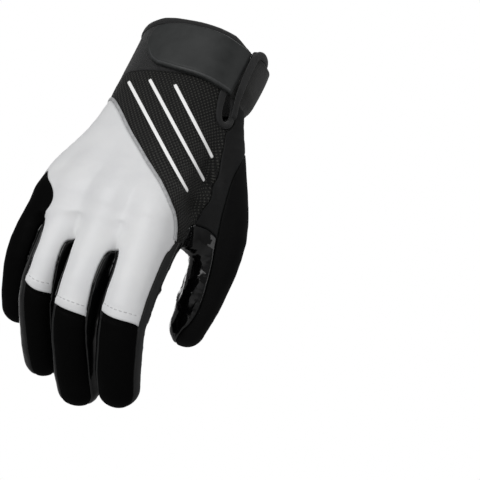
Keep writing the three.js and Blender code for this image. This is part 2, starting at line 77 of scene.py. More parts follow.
SIDE_LOW = [(3.6, -123), (6.8, -121.6), (10.5, -120.7), (14.3, -121.9), (16.4, -125.5), (18, -129)]
TONGUE = [(2.2, -123.4), (-0.4, -126.6), (-3.2, -130), (-3.4, -135), (-4.8, -139.5), (-8.3, -144), (-9.1, -148.6), (-10, -153.8), (-9.3, -164.7), (-7.5, -179.1), (-4.6, -190)]
THUMB_SEAM = [(43, -52), (30, -74), (23, -98), (20, -120), (24, -132), (27, -139), (26, -152), (22, -190)]
THUMB_BACK = [(-55, 46), (-71, 47.6), (-85, 46.9), (-92, 47.1), (-98.3, 47.6), (-104.5, 48.3), (-110.3, 48.9), (-115.6, 49.8), (-120.8, 50.8), (-125.5, 51.7),
              (-132.6, 53.1), (-138.6, 54.3), (-146.6, 55.5), (-153.6, 56.2), (-160, 56), (-166.8, 54.4), (-173, 51), (-190, 45)]
TAB_OUTLINE = [(-16.2, -12.7), (-3.4, -11), (9.7, -12), (21.9, -13.1), (33.4, -15.3), (60, -15.3), (60, -45.8), (37.5, -45.6), (32.2, -45.7), (21, -44.3), (9, -43.2),
               (-4.5, -40.7), (-8.1, -39.8), (-12.5, -37), (-15.9, -32.8), (-18.7, -28.1), (-20.1, -23.4), (-19.9, -18.5), (-18.6, -15.5)]
TAB_END = -12.6                      # the tab's sewn end, in y
BAND_LOW = [(-20, -44.6), (-3, -45.6), (4, -45), (12, -42), (20, -38), (27, -36.5), (60, -36.5)]
STRIPES = [(-22.3, -51.4, 36.6, -113.4), (-8.3, -50.3, 35.7, -96.7), (8.2, -51.9, 36.5, -83)]
SLIT = [(-11.8, 12), (-11.8, -46), (-10.6, -52), (-9, -57), (-7.6, -60.3), (-5.6, -60.3), (-4.8, -57), (-5.4, -51), (-8.4, -45.5), (-8.6, 12)]
SLIT_TAPE, RIM_TAPE = 4.0, 4.7
SEAM_BACK, SEAM_PALM = 0.28, 0.5


# ------------------------------------------------------------------ small maths
def spline(rows, per=6):
    """Catmull-Rom through table rows, per steps a row."""
    r = np.array(rows, float)
    p = np.vstack([2 * r[0] - r[1], r, 2 * r[-1] - r[-2]])
    out = []
    for i in range(1, len(p) - 2):
        for k in range(per):
            t = k / per
            out.append(0.5 * ((2 * p[i]) + (p[i + 1] - p[i - 1]) * t + (2 * p[i - 1] - 5 * p[i] + 4 * p[i + 1] - p[i + 2]) * t * t
                              + (3 * p[i] - p[i - 1] - 3 * p[i + 1] + p[i + 2]) * t ** 3))
    out.append(r[-1])
    return np.array(out)


def smin(a, b, k):
    h = np.clip(0.5 + 0.5 * (b - a) / k, 0, 1)
    return b * (1 - h) + a * h - k * h * (1 - h)


def step(x, a, b):
    t = np.clip((x - a) / (b - a), 0, 1)
    return t * t * (3 - 2 * t)


def outline_sd(u, v, pts):
    """Signed distance to a closed outline, positive inside."""
    d = np.full(u.shape, 1e9)
    inside = np.zeros(u.shape, bool)
    for i in range(len(pts)):
        a, b = pts[i - 1], pts[i]
        ex, ey = b[0] - a[0], b[1] - a[1]
        wx, wy = u - a[0], v - a[1]
        t = np.clip((wx * ex + wy * ey) / max(ex * ex + ey * ey, 1e-9), 0, 1)
        d = np.minimum(d, (wx - ex * t) ** 2 + (wy - ey * t) ** 2)
        cross = (a[1] > v) != (b[1] > v)
        if ey:
            inside ^= cross & (u < ex * (v - a[1]) / ey + a[0])
    return np.where(inside, 1, -1) * np.sqrt(d)


def _hash(i, j, k, seed):
    n = (i * 374761393 + j * 668265263 + k * 2147483647 + seed * 1274126177) & 0xFFFFFFFF
    n = ((n ^ (n >> 13)) * 1274126177) & 0xFFFFFFFF
    return ((n ^ (n >> 16)) & 0xFFFF) / 32767.5 - 1


def noise(p, scale, seed=0):
    """Smooth value noise, about -1 to 1."""
    q = p / scale
    b = np.floor(q).astype(np.int64)
    f = q - b
    f = f * f * f * (f * (f * 6 - 15) + 10)
    out = 0
    for dx in (0, 1):
        for dy in (0, 1):
            for dz in (0, 1):
                w = (f[:, 0] if dx else 1 - f[:, 0]) * (f[:, 1] if dy else 1 - f[:, 1]) * (f[:, 2] if dz else 1 - f[:, 2])
                out = out + w * _hash(b[:, 0] + dx, b[:, 1] + dy, b[:, 2] + dz, seed)
    return out


# ------------------------------------------------------------------ the hand's surface
def segment(p, a, b, ra, rb):
    ab = b - a
    t = np.clip(((p - a) @ ab) / (ab @ ab), 0, 1)
    q = p - a - t[:, None] * ab
    return np.sqrt(np.einsum("ij,ij->i", q, q)) - (ra + (rb - ra) * t)


LINES = {k: spline(v, 4) for k, v in FINGERS.items()}
BULGE_LINES = [spline(v, 4) for v in BULGES]
PALM_T = spline(PALM, 8)[::-1]


def tube(p, line):
    d = None
    for a, b in zip(line[:-1], line[1:]):
        s = segment(p, a[:3], b[:3], a[3], b[3])
        d = s if d is None else np.minimum(d, s)
    return d


def palm_at(z):
    z = np.clip(z, PALM_T[0, 0], PALM_T[-1, 0])
    return [np.interp(z, PALM_T[:, 0], PALM_T[:, i]) for i in (1, 2, 3, 4)]


def palm(p):
    xc, yc, a, b = palm_at(p[:, 2])
    dx, dy = p[:, 0] - xc, p[:, 1] - yc
    q = (np.abs(dx / a) ** SQUARE + np.abs(dy / b) ** SQUARE) ** (1 / SQUARE) + 1e-9
    d = (q - 1) / q * np.hypot(dx, dy)
    dz = PALM_T[0, 0] - p[:, 2]
    return np.where(dz > 0, np.hypot(np.maximum(d, 0), dz), np.maximum(d, dz))


def hand(p):
    f = None
    for k in ("index", "middle", "ring", "little"):
        t = tube(p, LINES[k])
        f = t if f is None else smin(f, t, 1.6)
    for line in BULGE_LINES:
        f = smin(f, tube(p, line), 1.2)
    for a, b, r in KNUCKLES:
        f = smin(f, segment(p, np.array(a, float), np.array(b, float), r, r), 5.0)
    for a, b, r in WEBS:
        f = smin(f, segment(p, np.array(a, float), np.array(b, float), r, r), 3.0)
    d = smin(f, palm(p), 7.5)
    w = None
    for a, b, r in THUMB_WEBS:
        s = segment(p, np.array(a, float), np.array(b, float), r, r)
        w = s if w is None else smin(w, s, 4)
    d = smin(smin(d, tube(p, LINES["thumb"]), 10), w, 6)
    a, b, ra, rb = GUSSET
    d = smin(d, segment(p, np.array(a, float), np.array(b, float), ra, rb), 5)
    a, b, r = CROTCH
    d = smin(d, segment(p, np.array(a, float), np.array(b, float), r, r), 9)
    x, y, z, high, reach = HEEL
    return d - high * np.exp(-((p[:, 0] - x) ** 2 + (p[:, 1] - y) ** 2 * 0.8 + (p[:, 2] - z) ** 2) / reach ** 2)


def gradient(fn, p, e=0.25):
    g = np.stack([fn(p + e * np.eye(3)[i]) - fn(p - e * np.eye(3)[i]) for i in range(3)], 1) / (2 * e)
    return g


def unit(v):
    return v / (np.linalg.norm(v, axis=-1, keepdims=True) + 1e-12)


def surface(fn, lo, hi, h):
    """Surface nets: one even quad skin of fn = 0."""
    c = 4 * h
    ax = [np.arange(lo[i], hi[i] + c, c) for i in range(3)]
    g = np.stack(np.meshgrid(*ax, indexing="ij"), -1)
    coarse = fn(g.reshape(-1, 3)).reshape(g.shape[:3])
    n = [(len(a) - 1) * 4 + 1 for a in ax]
    big = np.kron(coarse, np.ones((4, 4, 4)))[:n[0], :n[1], :n[2]]
    near = np.abs(big) < c * 2.2
    idx = np.argwhere(near)
    pts = np.array(lo) + idx * h
    f = big
    for k in range(0, len(pts), 200000):
        i = idx[k:k + 200000]
        f[i[:, 0], i[:, 1], i[:, 2]] = fn(pts[k:k + 200000])
    s = f < 0
    cells = np.zeros([m - 1 for m in n], bool)
    corner = [(i, j, k) for i in (0, 1) for j in (0, 1) for k in (0, 1)]
    view = lambda a, o: a[o[0]:n[0] - 1 + o[0], o[1]:n[1] - 1 + o[1], o[2]:n[2] - 1 + o[2]]
    first = view(s, (0, 0, 0))
    for o in corner[1:]:
        cells |= view(s, o) != first
    ci = np.argwhere(cells)
    ids = np.full(cells.shape, -1)
    ids[cells] = np.arange(len(ci))
    acc = np.zeros((len(ci), 3))
    cnt = np.zeros(len(ci))
    for a in corner:
        for axis in range(3):
            if a[axis]:
                continue
            b = list(a)
            b[axis] = 1
            fa = f[ci[:, 0] + a[0], ci[:, 1] + a[1], ci[:, 2] + a[2]]
            fb = f[ci[:, 0] + b[0], ci[:, 1] + b[1], ci[:, 2] + b[2]]
            m = (fa < 0) != (fb < 0)
            t = np.where(m, fa / np.where(m, fa - fb, 1), 0)
            q = np.array(a, float) + np.zeros((len(ci), 3))
            q[:, axis] += t
            acc += q * m[:, None]
            cnt += m
    verts = np.array(lo) + (ci + acc / cnt[:, None]) * h
    quads = []
    for axis in range(3):
        u, v = [(1, 2), (2, 0), (0, 1)][axis]
        sl = [slice(None)] * 3
        sl[axis] = slice(0, n[axis] - 1)
        sh = [slice(None)] * 3
        sh[axis] = slice(1, n[axis])
        e = np.argwhere(s[tuple(sl)] != s[tuple(sh)])
        e = e[(e[:, u] > 0) & (e[:, v] > 0) & (e[:, u] < n[u] - 1) & (e[:, v] < n[v] - 1)]
        ins = s[e[:, 0], e[:, 1], e[:, 2]]
        q = []
        for du, dv in ((1, 1), (0, 1), (0, 0), (1, 0)):
            o = e.copy()
            o[:, u] -= du
            o[:, v] -= dv
            q.append(ids[o[:, 0], o[:, 1], o[:, 2]])
        q = np.stack(q, 1)
        q[~ins] = q[~ins][:, ::-1]
        quads.append(q)
    quads = np.vstack(quads)
    quads = quads[(quads >= 0).all(1)]
    return verts, quads


def project(fn, v, times=2):
    for _ in range(times):
        g = gradient(fn, v)
        v = v - g * (fn(v) / np.maximum((g * g).sum(1), 0.2))[:, None]
    return v


def relax(v, f, keep, times):
    e = np.vstack([f[:, [i, (i + 1) % f.shape[1]]] for i in range(f.shape[1])])
    for _ in range(times):
        acc = np.zeros_like(v)
        cnt = np.zeros(len(v))
        for a, b in ((0, 1), (1, 0)):
            np.add.at(acc, e[:, a], v[e[:, b]])
            np.add.at(cnt, e[:, a], 1)
        m = acc / np.maximum(cnt, 1)[:, None]
        v = np.where(keep[:, None], v, v * 0.4 + m * 0.6)
    return v


# ------------------------------------------------------------------ cutting a skin along seams
class Skin:
    def __init__(self, v, t):
        self.v, self.t = v, t

    def compact(self):
        used, inv = np.unique(self.t, return_inverse=True)
        return Skin(self.v[used], inv.reshape(-1, 3))

    def edges(self):
        e = np.vstack([self.t[:, [0, 1]], self.t[:, [1, 2]], self.t[:, [2, 0]]])
        return e

    def border(self):
        e = self.edges()
        key = np.sort(e, 1)
        _, inv, cnt = np.unique(key, axis=0, return_inverse=True, return_counts=True)
        return e[cnt[inv.ravel()] == 1]

    def main(self, least=0.12):
        """Drops loose scraps: components with under a share of the largest one."""
        n = len(self.v)
        lab = np.arange(n)
        e = self.edges()
        while True:
            m = np.minimum(lab[e[:, 0]], lab[e[:, 1]])
            new = lab.copy()
            np.minimum.at(new, e[:, 0], m)
            np.minimum.at(new, e[:, 1], m)
            new = new[new]
            if (new == lab).all():
                break
            lab = new
        tl = lab[self.t[:, 0]]
        ids, cnt = np.unique(tl, return_counts=True)
        good = ids[cnt >= least * cnt.max()]
        return Skin(self.v, self.t[np.isin(tl, good)]).compact()


def clip(skin, s):
    """The skin's parts where s is positive, and where it is negative."""
    v, t = skin.v, skin.t
    s = np.where(np.abs(s) < 0.07, 0, s)
    sg = np.sign(s)[t]
    pos, neg = (sg > 0).sum(1), (sg < 0).sum(1)
    p_t, n_t = [t[neg == 0]], [t[(pos == 0) & (neg > 0)]]
    mix = (pos > 0) & (neg > 0)
    e = np.vstack([t[mix][:, [0, 1]], t[mix][:, [1, 2]], t[mix][:, [2, 0]]])
    e = e[s[e[:, 0]] * s[e[:, 1]] < 0]
    key = np.unique(np.sort(e, 1), axis=0)
    if len(key):
        w = s[key[:, 0]] / (s[key[:, 0]] - s[key[:, 1]])
        nv = v[key[:, 0]] * (1 - w[:, None]) + v[key[:, 1]] * w[:, None]
        code = key[:, 0].astype(np.int64) * len(v) + key[:, 1]

        def at(a, b):
            lo, hi = np.minimum(a, b), np.maximum(a, b)
            return len(v) + np.searchsorted(code, lo.astype(np.int64) * len(v) + hi)

        one = mix & (pos + neg == 2)
        for sh in range(3):
            tt = np.roll(t[one], -sh, 1)
            ss = np.sign(s)[tt]
            tt = tt[ss[:, 0] == 0]
            ss = np.sign(s)[tt]
            m = at(tt[:, 1], tt[:, 2])
            a = np.stack([tt[:, 0], tt[:, 1], m], 1)
            b = np.stack([tt[:, 0], m, tt[:, 2]], 1)
            up = ss[:, 1] > 0
            p_t += [a[up], b[~up]]
            n_t += [b[up], a[~up]]
        two = mix & (pos + neg == 3)
        for sign, mine, other in ((1, p_t, n_t), (-1, n_t, p_t)):
            lone = two & ((sg == sign).sum(1) == 1)
            for sh in range(3):
                tt = np.roll(t[lone], -sh, 1)
                tt = tt[np.sign(s)[tt[:, 0]] == sign]
                m1, m2 = at(tt[:, 0], tt[:, 1]), at(tt[:, 0], tt[:, 2])
                mine.append(np.stack([tt[:, 0], m1, m2], 1))
                other += [np.stack([m1, tt[:, 1], tt[:, 2]], 1), np.stack([m1, tt[:, 2], m2], 1)]
        v = np.vstack([v, nv])
    return Skin(v, np.vstack(p_t)).compact(), Skin(v, np.vstack(n_t)).compact()


def near(points, where):
    """Distance from each point to the nearest of where."""
    tree = kdtree.KDTree(len(where))
    for i, q in enumerate(where):
        tree.insert(q, i)
    tree.balance()
    return np.array([tree.find(q)[2] for q in points])


def edge_points(skin, gap=0.35):
    b = skin.border()
    a, c = skin.v[b[:, 0]], skin.v[b[:, 1]]
    out = [a]
    n = np.ceil(np.linalg.norm(c - a, axis=1) / gap).astype(int)
    for k in range(1, n.max() if len(n) else 1):
        m = n > k
        out.append(a[m] + (c - a)[m] * (k / n[m])[:, None])
    return np.vstack(out)


def refine(skin, d, width, size, fn):
    """Splits long sides near the border, and puts new points on the surface."""
    v, t = skin.v, skin.t
    e = np.unique(np.sort(skin.edges(), 1), axis=0)
    ln = np.linalg.norm(v[e[:, 0]] - v[e[:, 1]], axis=1)
    mark = (ln > size * 1.35) & (np.minimum(d[e[:, 0]], d[e[:, 1]]) < width)
    e = e[mark]
    if not len(e):
        return skin
    code = e[:, 0].astype(np.int64) * len(v) + e[:, 1]
    mid = (v[e[:, 0]] + v[e[:, 1]]) / 2
    border = np.sort(skin.border(), 1)
    bc = np.sort(border[:, 0].astype(np.int64) * len(v) + border[:, 1])
    pos = np.searchsorted(bc, code)
    on = (pos < len(bc)) & (bc[np.minimum(pos, len(bc) - 1)] == code) if len(bc) else np.zeros(len(code), bool)
    if fn is not None and (~on).any():
        mid[~on] = project(fn, mid[~on], 1)

    def at(a, b):
        q = np.minimum(a, b).astype(np.int64) * len(v) + np.maximum(a, b)
        k = np.searchsorted(code, q)
        ok = (k < len(code)) & (code[np.minimum(k, len(code) - 1)] == q)
        return np.where(ok, len(v) + k, -1)

    m = np.stack([at(t[:, 0], t[:, 1]), at(t[:, 1], t[:, 2]), at(t[:, 2], t[:, 0])], 1)
    c = (m >= 0).sum(1)
    out = [t[c == 0]]
    a = c == 3
    tt, mm = t[a], m[a]
    out += [np.stack([tt[:, 0], mm[:, 0], mm[:, 2]], 1), np.stack([mm[:, 0], tt[:, 1], mm[:, 1]], 1),
            np.stack([mm[:, 2], mm[:, 1], tt[:, 2]], 1), mm]
    for sh in range(3):
        tr, mr = np.roll(t, -sh, 1), np.roll(m, -sh, 1)
        a = (c == 1) & (mr[:, 0] >= 0)
        out += [np.stack([tr[a][:, 0], mr[a][:, 0], tr[a][:, 2]], 1), np.stack([mr[a][:, 0], tr[a][:, 1], tr[a][:, 2]], 1)]
        a = (c == 2) & (mr[:, 0] >= 0) & (mr[:, 1] >= 0)
        out += [np.stack([mr[a][:, 0], tr[a][:, 1], mr[a][:, 1]], 1), np.stack([tr[a][:, 0], mr[a][:, 0], mr[a][:, 1]], 1),
                np.stack([tr[a][:, 0], mr[a][:, 1], tr[a][:, 2]], 1)]
    return Skin(np.vstack([v, mid]), np.vstack(out))


def normals(v, t):
    n = np.cross(v[t[:, 1]] - v[t[:, 0]], v[t[:, 2]] - v[t[:, 0]])
    out = np.zeros_like(v)
    for i in range(3):
        np.add.at(out, t[:, i], n)
    return unit(out)


# ------------------------------------------------------------------ objects
MATERIALS = {}
made = []


def add_object(name, v, t, material, smooth=True, attrs=None, sharp=None):
    mesh = bpy.data.meshes.new(name)
    mesh.vertices.add(len(v))
    mesh.vertices.foreach_set("co", (np.asarray(v) / 1000).astype(np.float32).ravel())
    k = t.shape[1]
    mesh.loops.add(len(t) * k)
    mesh.loops.foreach_set("vertex_index", t.astype(np.int32).ravel())
    mesh.polygons.add(len(t))
    mesh.polygons.foreach_set("loop_start", np.arange(0, len(t) * k, k, dtype=np.int32))
    mesh.update(calc_edges=True)
    mesh.validate()
    for key, val in (attrs or {}).items():
        a = mesh.attributes.new(key, "FLOAT", "POINT")
        a.data.foreach_set("value", np.asarray(val, np.float32))
    mesh.polygons.foreach_set("use_smooth", np.ones(len(mesh.polygons), bool) if smooth else np.zeros(len(mesh.polygons), bool))
    if sharp is not None and len(sharp):
        keys = set(map(tuple, np.sort(sharp, 1).tolist()))
        ev = np.zeros(len(mesh.edges) * 2, np.int32)
        mesh.edges.foreach_get("vertices", ev)
        ev = np.sort(ev.reshape(-1, 2), 1)
        flag = np.array([tuple(x) in keys for x in ev.tolist()], bool)
        a = mesh.attributes.get("sharp_edge") or mesh.attributes.new("sharp_edge", "BOOLEAN", "EDGE")
        a.data.foreach_set("value", flag)
    mesh.materials.append(MATERIALS[material])
    obj = bpy.data.objects.new(name, mesh)
    bpy.context.scene.collection.objects.link(obj)
    made.append(obj)
    return obj


def wall(v, t, n, thick, edge=None):
    """Closes a skin into a wall: the skin, its inside, and the rim between."""
    k = len(v)
    s = Skin(v, t)
    b = s.border()
    inner = v - n * thick
    tris = [t, t[:, ::-1] + k, np.stack([b[:, 1], b[:, 0], b[:, 0] + k], 1), np.stack([b[:, 1], b[:, 0] + k, b[:, 1] + k], 1)]
    sharp = np.vstack([b, b + k])
    return np.vstack([v, inner]), np.vstack(tris), sharp


def place(obj, node, slot, *more):
    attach(obj, "root")
    if node:
        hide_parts(node, *more)
    return obj


# ------------------------------------------------------------------ materials
class Nodes:
    def __init__(self, name, colour, rough, **kw):
        self.m = bpy.data.materials.new(name)
        self.m.use_nodes = True
        self.t = self.m.node_tree
        self.b = self.t.nodes["Principled BSDF"]
        self.set("Base Color", (*colour, 1))
        self.set("Roughness", rough)
        for k, val in kw.items():
            self.set(k.replace("_", " "), val)
        self.co = self.t.nodes.new("ShaderNodeTexCoord").outputs["Object"]
        MATERIALS[name] = self.m
        self.height = None

    def set(self, socket, value):
        self.b.inputs[socket].default_value = value

    def node(self, kind, ins=None, **props):
        n = self.t.nodes.new(kind)
        for k, val in props.items():
            setattr(n, k, val)
        for k, val in (ins or {}).items():
            sock = n.inputs[k]
            if hasattr(val, "links"):
                self.t.links.new(val, sock)
            else:
                sock.default_value = val
        return n

    def math(self, op, a, b=0.0, c=None, clamp=False):
        n = self.node("ShaderNodeMath", operation=op, use_clamp=clamp)
        for i, x in enumerate([a, b] + ([c] if c is not None else [])):
            if hasattr(x, "links"):
                self.t.links.new(x, n.inputs[i])
            else:
                n.inputs[i].default_value = x
        return n.outputs[0]

    def noise(self, per_m, detail=3.0, rough=0.5, vector=None):
        n = self.node("ShaderNodeTexNoise", {"Vector": vector or self.co, "Scale": per_m, "Detail": detail, "Roughness": rough})
        return n.outputs["Fac"]

    def voronoi(self, per_m, feature="F1", vector=None, jitter=1.0):
        n = self.node("ShaderNodeTexVoronoi", {"Vector": vector or self.co, "Scale": per_m, "Randomness": jitter}, feature=feature)
        return n.outputs["Distance"]

    def attr(self, name):
        return self.node("ShaderNodeAttribute", attribute_name=name).outputs["Fac"]

    def ramp(self, fac, stops):
        n = self.node("ShaderNodeValToRGB", {"Fac": fac})
        e = n.color_ramp.elements
        while len(e) < len(stops):
            e.new(0.5)
        for el, (p, c) in zip(e, stops):
            el.position = p
            el.color = (*c, 1) if len(c) == 3 else c
        return n.outputs["Color"]

    def remap(self, x, a, b, c, d):
        return self.node("ShaderNodeMapRange", {"Value": x, "From Min": a, "From Max": b, "To Min": c, "To Max": d}).outputs["Result"]

    def link(self, out, socket):
        self.t.links.new(out, self.b.inputs[socket])

    def bump(self, height, distance, strength=1.0):
        ins = {"Height": height, "Distance": distance, "Strength": strength}
        n = self.node("ShaderNodeBump", ins)
        if self.height is not None:
            self.t.links.new(self.height, n.inputs["Normal"])
        self.height = n.outputs["Normal"]
        self.link(self.height, "Normal")


MM = 1000.0


def build_materials():
    # smooth white synthetic leather
    m = Nodes("white_leather", (0.80, 0.805, 0.815), 0.46)
    m.set("Specular IOR Level", 0.45)
    grain = m.voronoi(1.6 * MM, "F1")
    fine = m.noise(3.0 * MM, 3)
    m.bump(m.math("ADD", grain, fine), 0.00003, 0.5)
    m.bump(m.noise(90, 4, 0.55), 0.0004, 0.25)
    tone = m.noise(55, 4)
    # painted shade: the base colour darkens to 0.78 within 1.3 mm of the panel's edge, where the edge rolls down into
    # the seam
    seam_shade = m.remap(m.attr("edge"), 0.0, 1.3, 0.78, 1.0)
    c = m.ramp(tone, [(0.3, (0.84, 0.845, 0.86)), (0.7, (0.90, 0.905, 0.91))])
    mix = m.node("ShaderNodeMix", {"Factor": 1.0}, data_type="RGBA", blend_type="MULTIPLY")
    m.t.links.new(c, mix.inputs["A"])
    m.t.links.new(m.node("ShaderNodeCombineColor", {"Red": seam_shade, "Green": seam_shade, "Blue": seam_shade}).outputs[0], mix.inputs["B"])
    m.link(mix.outputs["Result"], "Base Color")
    m.link(m.remap(tone, 0.3, 0.7, 0.42, 0.54), "Roughness")

    # matte synthetic suede: the finger tips and the thumb's back; the two lighter copies for the strips beside them
    # are the same black suede made lighter, with painted light on the thumb's side strip and a painted highlight on
    # the index's side strip
    for name, low, high, sheen, spec, rough in (("matte_black", 0.0005, 0.0012, 0.003, 0.05, 0.68), ("thumb_black", 0.0016, 0.0034, 0.012, 0.09, 0.66),
                                                 ("soft_grey_painted_light", 0.0066, 0.0105, 0.03, 0.16, 0.6), ("side_grey_painted_highlight", 0.011, 0.019, 0.05, 0.3, 0.5)):
        m = Nodes(name, (high, high, high), rough)
        m.set("Sheen Weight", sheen)
        m.set("Sheen Roughness", 0.5)
        m.set("Sheen Tint", (0.55, 0.57, 0.6, 1))
        m.set("Specular IOR Level", spec)
        m.bump(m.noise(2.4 * MM, 3, 0.6), 0.00005, 0.5)
        m.bump(m.noise(110, 3), 0.0005, 0.2)
        t = m.noise(320, 5, 0.65)
        m.link(m.ramp(t, [(0.35, (low, low * 1.03, low * 1.05)), (0.7, (high, high * 1.02, high * 1.03))]), "Base Color")
        m.link(m.remap(t, 0.3, 0.7, rough - 0.08, rough + 0.08), "Roughness")

    # glossy patent
    m = Nodes("patent", (0.0035, 0.0036, 0.004), 0.13)
    m.set("Specular IOR Level", 0.28)
    m.set("Coat Weight", 0.22)
    m.set("Coat Roughness", 0.06)
    m.bump(m.noise(1.1 * MM, 2), 0.00002, 0.35)
    m.bump(m.noise(150, 4, 0.6), 0.0005, 0.35)
    t = m.noise(120, 4, 0.6)
    m.link(m.remap(t, 0.3, 0.75, 0.07, 0.17), "Roughness")
    m.link(m.ramp(t, [(0.3, (0.0012, 0.0012, 0.0014)), (0.75, (0.003, 0.0031, 0.0034))]), "Base Color")

    # satin grey piping
    m = Nodes("piping_grey", (0.33, 0.335, 0.345), 0.38)
    m.set("Specular IOR Level", 0.5)
    m.bump(m.noise(1.5 * MM, 2), 0.00004, 0.5)
    t = m.noise(420, 4)
    m.link(m.ramp(t, [(0.3, (0.36, 0.363, 0.37)), (0.7, (0.52, 0.525, 0.535))]), "Base Color")

    # embossed mesh: staggered rounded cells from the flat u, v coordinates
    m = Nodes("mesh", (0.018, 0.0182, 0.0178), 0.62)
    u, v = m.attr("u"), m.attr("v")
    a = m.math("MULTIPLY", u, 2 * math.pi / 2.2)
    b = m.math("MULTIPLY", v, 2 * math.pi / 2.9)
    wave = m.math("MULTIPLY", m.math("COSINE", a), m.math("COSINE", b))
    knob = m.remap(wave, -0.15, 0.55, 0.0, 1.0)
    hole = m.remap(wave, -0.9, -0.45, 0.0, 1.0)
    thread = m.math("MULTIPLY", m.math("SINE", m.math("MULTIPLY", u, 2 * math.pi / 0.42)), m.math("SINE", m.math("MULTIPLY", v, 2 * math.pi / 0.42)))
    m.bump(knob, 0.0009, 1.0)
    m.bump(thread, 0.00006, 0.6)
    m.bump(m.noise(120, 3), 0.0005, 0.3)
    m.link(m.ramp(wave, [(0.0, (0.0010, 0.0010, 0.0009)), (0.22, (0.0045, 0.0046, 0.0040)), (0.42, (0.020, 0.0203, 0.0175)), (0.95, (0.046, 0.0463, 0.0405))]), "Base Color")
    m.link(m.remap(hole, 0.0, 1.0, 0.85, 0.5), "Roughness")
    m.set("Sheen Weight", 0.03)
    m.set("Specular IOR Level", 0.3)

    # white raised bars; their faint white emission is painted light, which keeps them white where they turn away from
    # the lamps
    m = Nodes("bar_white", (0.78, 0.78, 0.77), 0.42)
    m.set("Emission Color", (1, 1, 1, 1))
    m.set("Emission Strength", 0.13)
    m.bump(m.noise(1.8 * MM, 2), 0.00003, 0.5)
    t = m.noise(300, 4)
    m.link(m.ramp(t, [(0.3, (0.93, 0.93, 0.925)), (0.7, (0.97, 0.97, 0.965))]), "Base Color")

    # moulded satin tab
    m = Nodes("tab_rubber", (0.026, 0.028, 0.0285), 0.46)
    m.set("Specular IOR Level", 0.45)
    m.bump(m.noise(1.6 * MM, 3, 0.6), 0.00004, 0.5)
    m.bump(m.noise(70, 3), 0.0005, 0.25)
    t = m.noise(180, 5, 0.6)
    rim = m.remap(m.attr("rim"), 0.0, 1.0, 0.0, 1.0)
    c = m.ramp(t, [(0.3, (0.0165, 0.0182, 0.0182)), (0.7, (0.024, 0.026, 0.026))])
    mix = m.node("ShaderNodeMix", {"Factor": rim}, data_type="RGBA")
    m.t.links.new(c, mix.inputs["A"])
    mix.inputs["B"].default_value = (0.05, 0.0525, 0.054, 1)
    m.link(mix.outputs["Result"], "Base Color")
    m.link(m.remap(t, 0.3, 0.7, 0.42, 0.54), "Roughness")

    # knitted cuff
    m = Nodes("knit", (0.013, 0.0132, 0.0135), 0.85)
    u, v = m.attr("u"), m.attr("v")
    col = m.math("ABSOLUTE", m.math("SINE", m.math("MULTIPLY", u, math.pi / 0.75)))
    leg = m.math("SINE", m.math("ADD", m.math("MULTIPLY", v, 2 * math.pi / 0.62), m.math("MULTIPLY", col, 2.2)))
    m.bump(m.math("ADD", m.math("MULTIPLY", col, 0.8), m.math("MULTIPLY", leg, 0.5)), 0.00022, 0.8)
    m.bump(m.noise(100, 3), 0.0006, 0.3)
    m.set("Sheen Weight", 0.25)
    m.set("Sheen Roughness", 0.5)
    m.set("Specular IOR Level", 0.25)
    m.link(m.ramp(leg, [(0.2, (0.008, 0.0082, 0.0085)), (0.8, (0.018, 0.0185, 0.019))]), "Base Color")

    # ribbed elastic
    m = Nodes("elastic", (0.012, 0.0122, 0.0125), 0.8)
    u, v = m.attr("u"), m.attr("v")
    rib = m.math("SINE", m.math("MULTIPLY", v, 2 * math.pi / 1.15))
    weave = m.math("SINE", m.math("ADD", m.math("MULTIPLY", u, 2 * math.pi / 0.7), m.math("MULTIPLY", rib, 1.3)))
    m.bump(m.math("ADD", m.math("MULTIPLY", rib, 0.5), m.math("MULTIPLY", weave, 0.6)), 0.00012, 0.8)
    m.bump(m.noise(700, 3), 0.0003, 0.6)
    m.set("Sheen Weight", 0.22)
    m.set("Specular IOR Level", 0.3)
    speck = m.math("ADD", m.math("MULTIPLY", weave, 0.15), m.noise(1100, 4, 0.7))
    m.link(m.ramp(speck, [(0.3, (0.0045, 0.0045, 0.0042)), (0.55, (0.010, 0.0100, 0.0094)), (0.75, (0.030, 0.0295, 0.0270))]), "Base Color")

    # folded binding tape
    m = Nodes("tape", (0.009, 0.0092, 0.0095), 0.7)
    u, v = m.attr("u"), m.attr("v")
    tw = m.math("SINE", m.math("MULTIPLY", m.math("ADD", u, m.math("MULTIPLY", v, 0.8)), 2 * math.pi / 0.55))
    m.bump(tw, 0.00008, 0.6)
    m.bump(m.noise(500, 3), 0.0002, 0.4)
    m.set("Sheen Weight", 0.2)
    m.set("Specular IOR Level", 0.35)
    m.link(m.ramp(tw, [(0.1, (0.006, 0.0062, 0.0065)), (0.9, (0.013, 0.0132, 0.0138))]), "Base Color")

    # woven label, bare
    m = Nodes("label_weave", (0.035, 0.036, 0.036), 0.6)
    u, v = m.attr("u"), m.attr("v")
    wv = m.math("MULTIPLY", m.math("SINE", m.math("MULTIPLY", u, 2 * math.pi / 0.5)), m.math("SINE", m.math("MULTIPLY", v, 2 * math.pi / 0.36)))
    m.bump(wv, 0.0001, 0.7)
    m.set("Sheen Weight", 0.15)
    m.link(m.ramp(wv, [(0.1, (0.026, 0.027, 0.027)), (0.9, (0.05, 0.051, 0.051))]), "Base Color")

    # thread
    for name, col in (("thread_white", (0.62, 0.625, 0.63)), ("thread_black", (0.014, 0.014, 0.015))):
        m = Nodes(name, col, 0.6)
        tw = m.noise(2.2 * MM, 2)
        m.bump(tw, 0.0001, 0.6)
        m.link(m.ramp(tw, [(0.3, tuple(c * 0.75 for c in col)), (0.7, tuple(min(1, c * 1.2) for c in col))]), "Base Color")

    m = Nodes("floor", (0.80, 0.80, 0.80), 0.6)
    m.link(m.ramp(m.noise(3, 3), [(0.3, (0.79, 0.79, 0.79)), (0.7, (0.82, 0.82, 0.82))]), "Base Color")


build_materials()

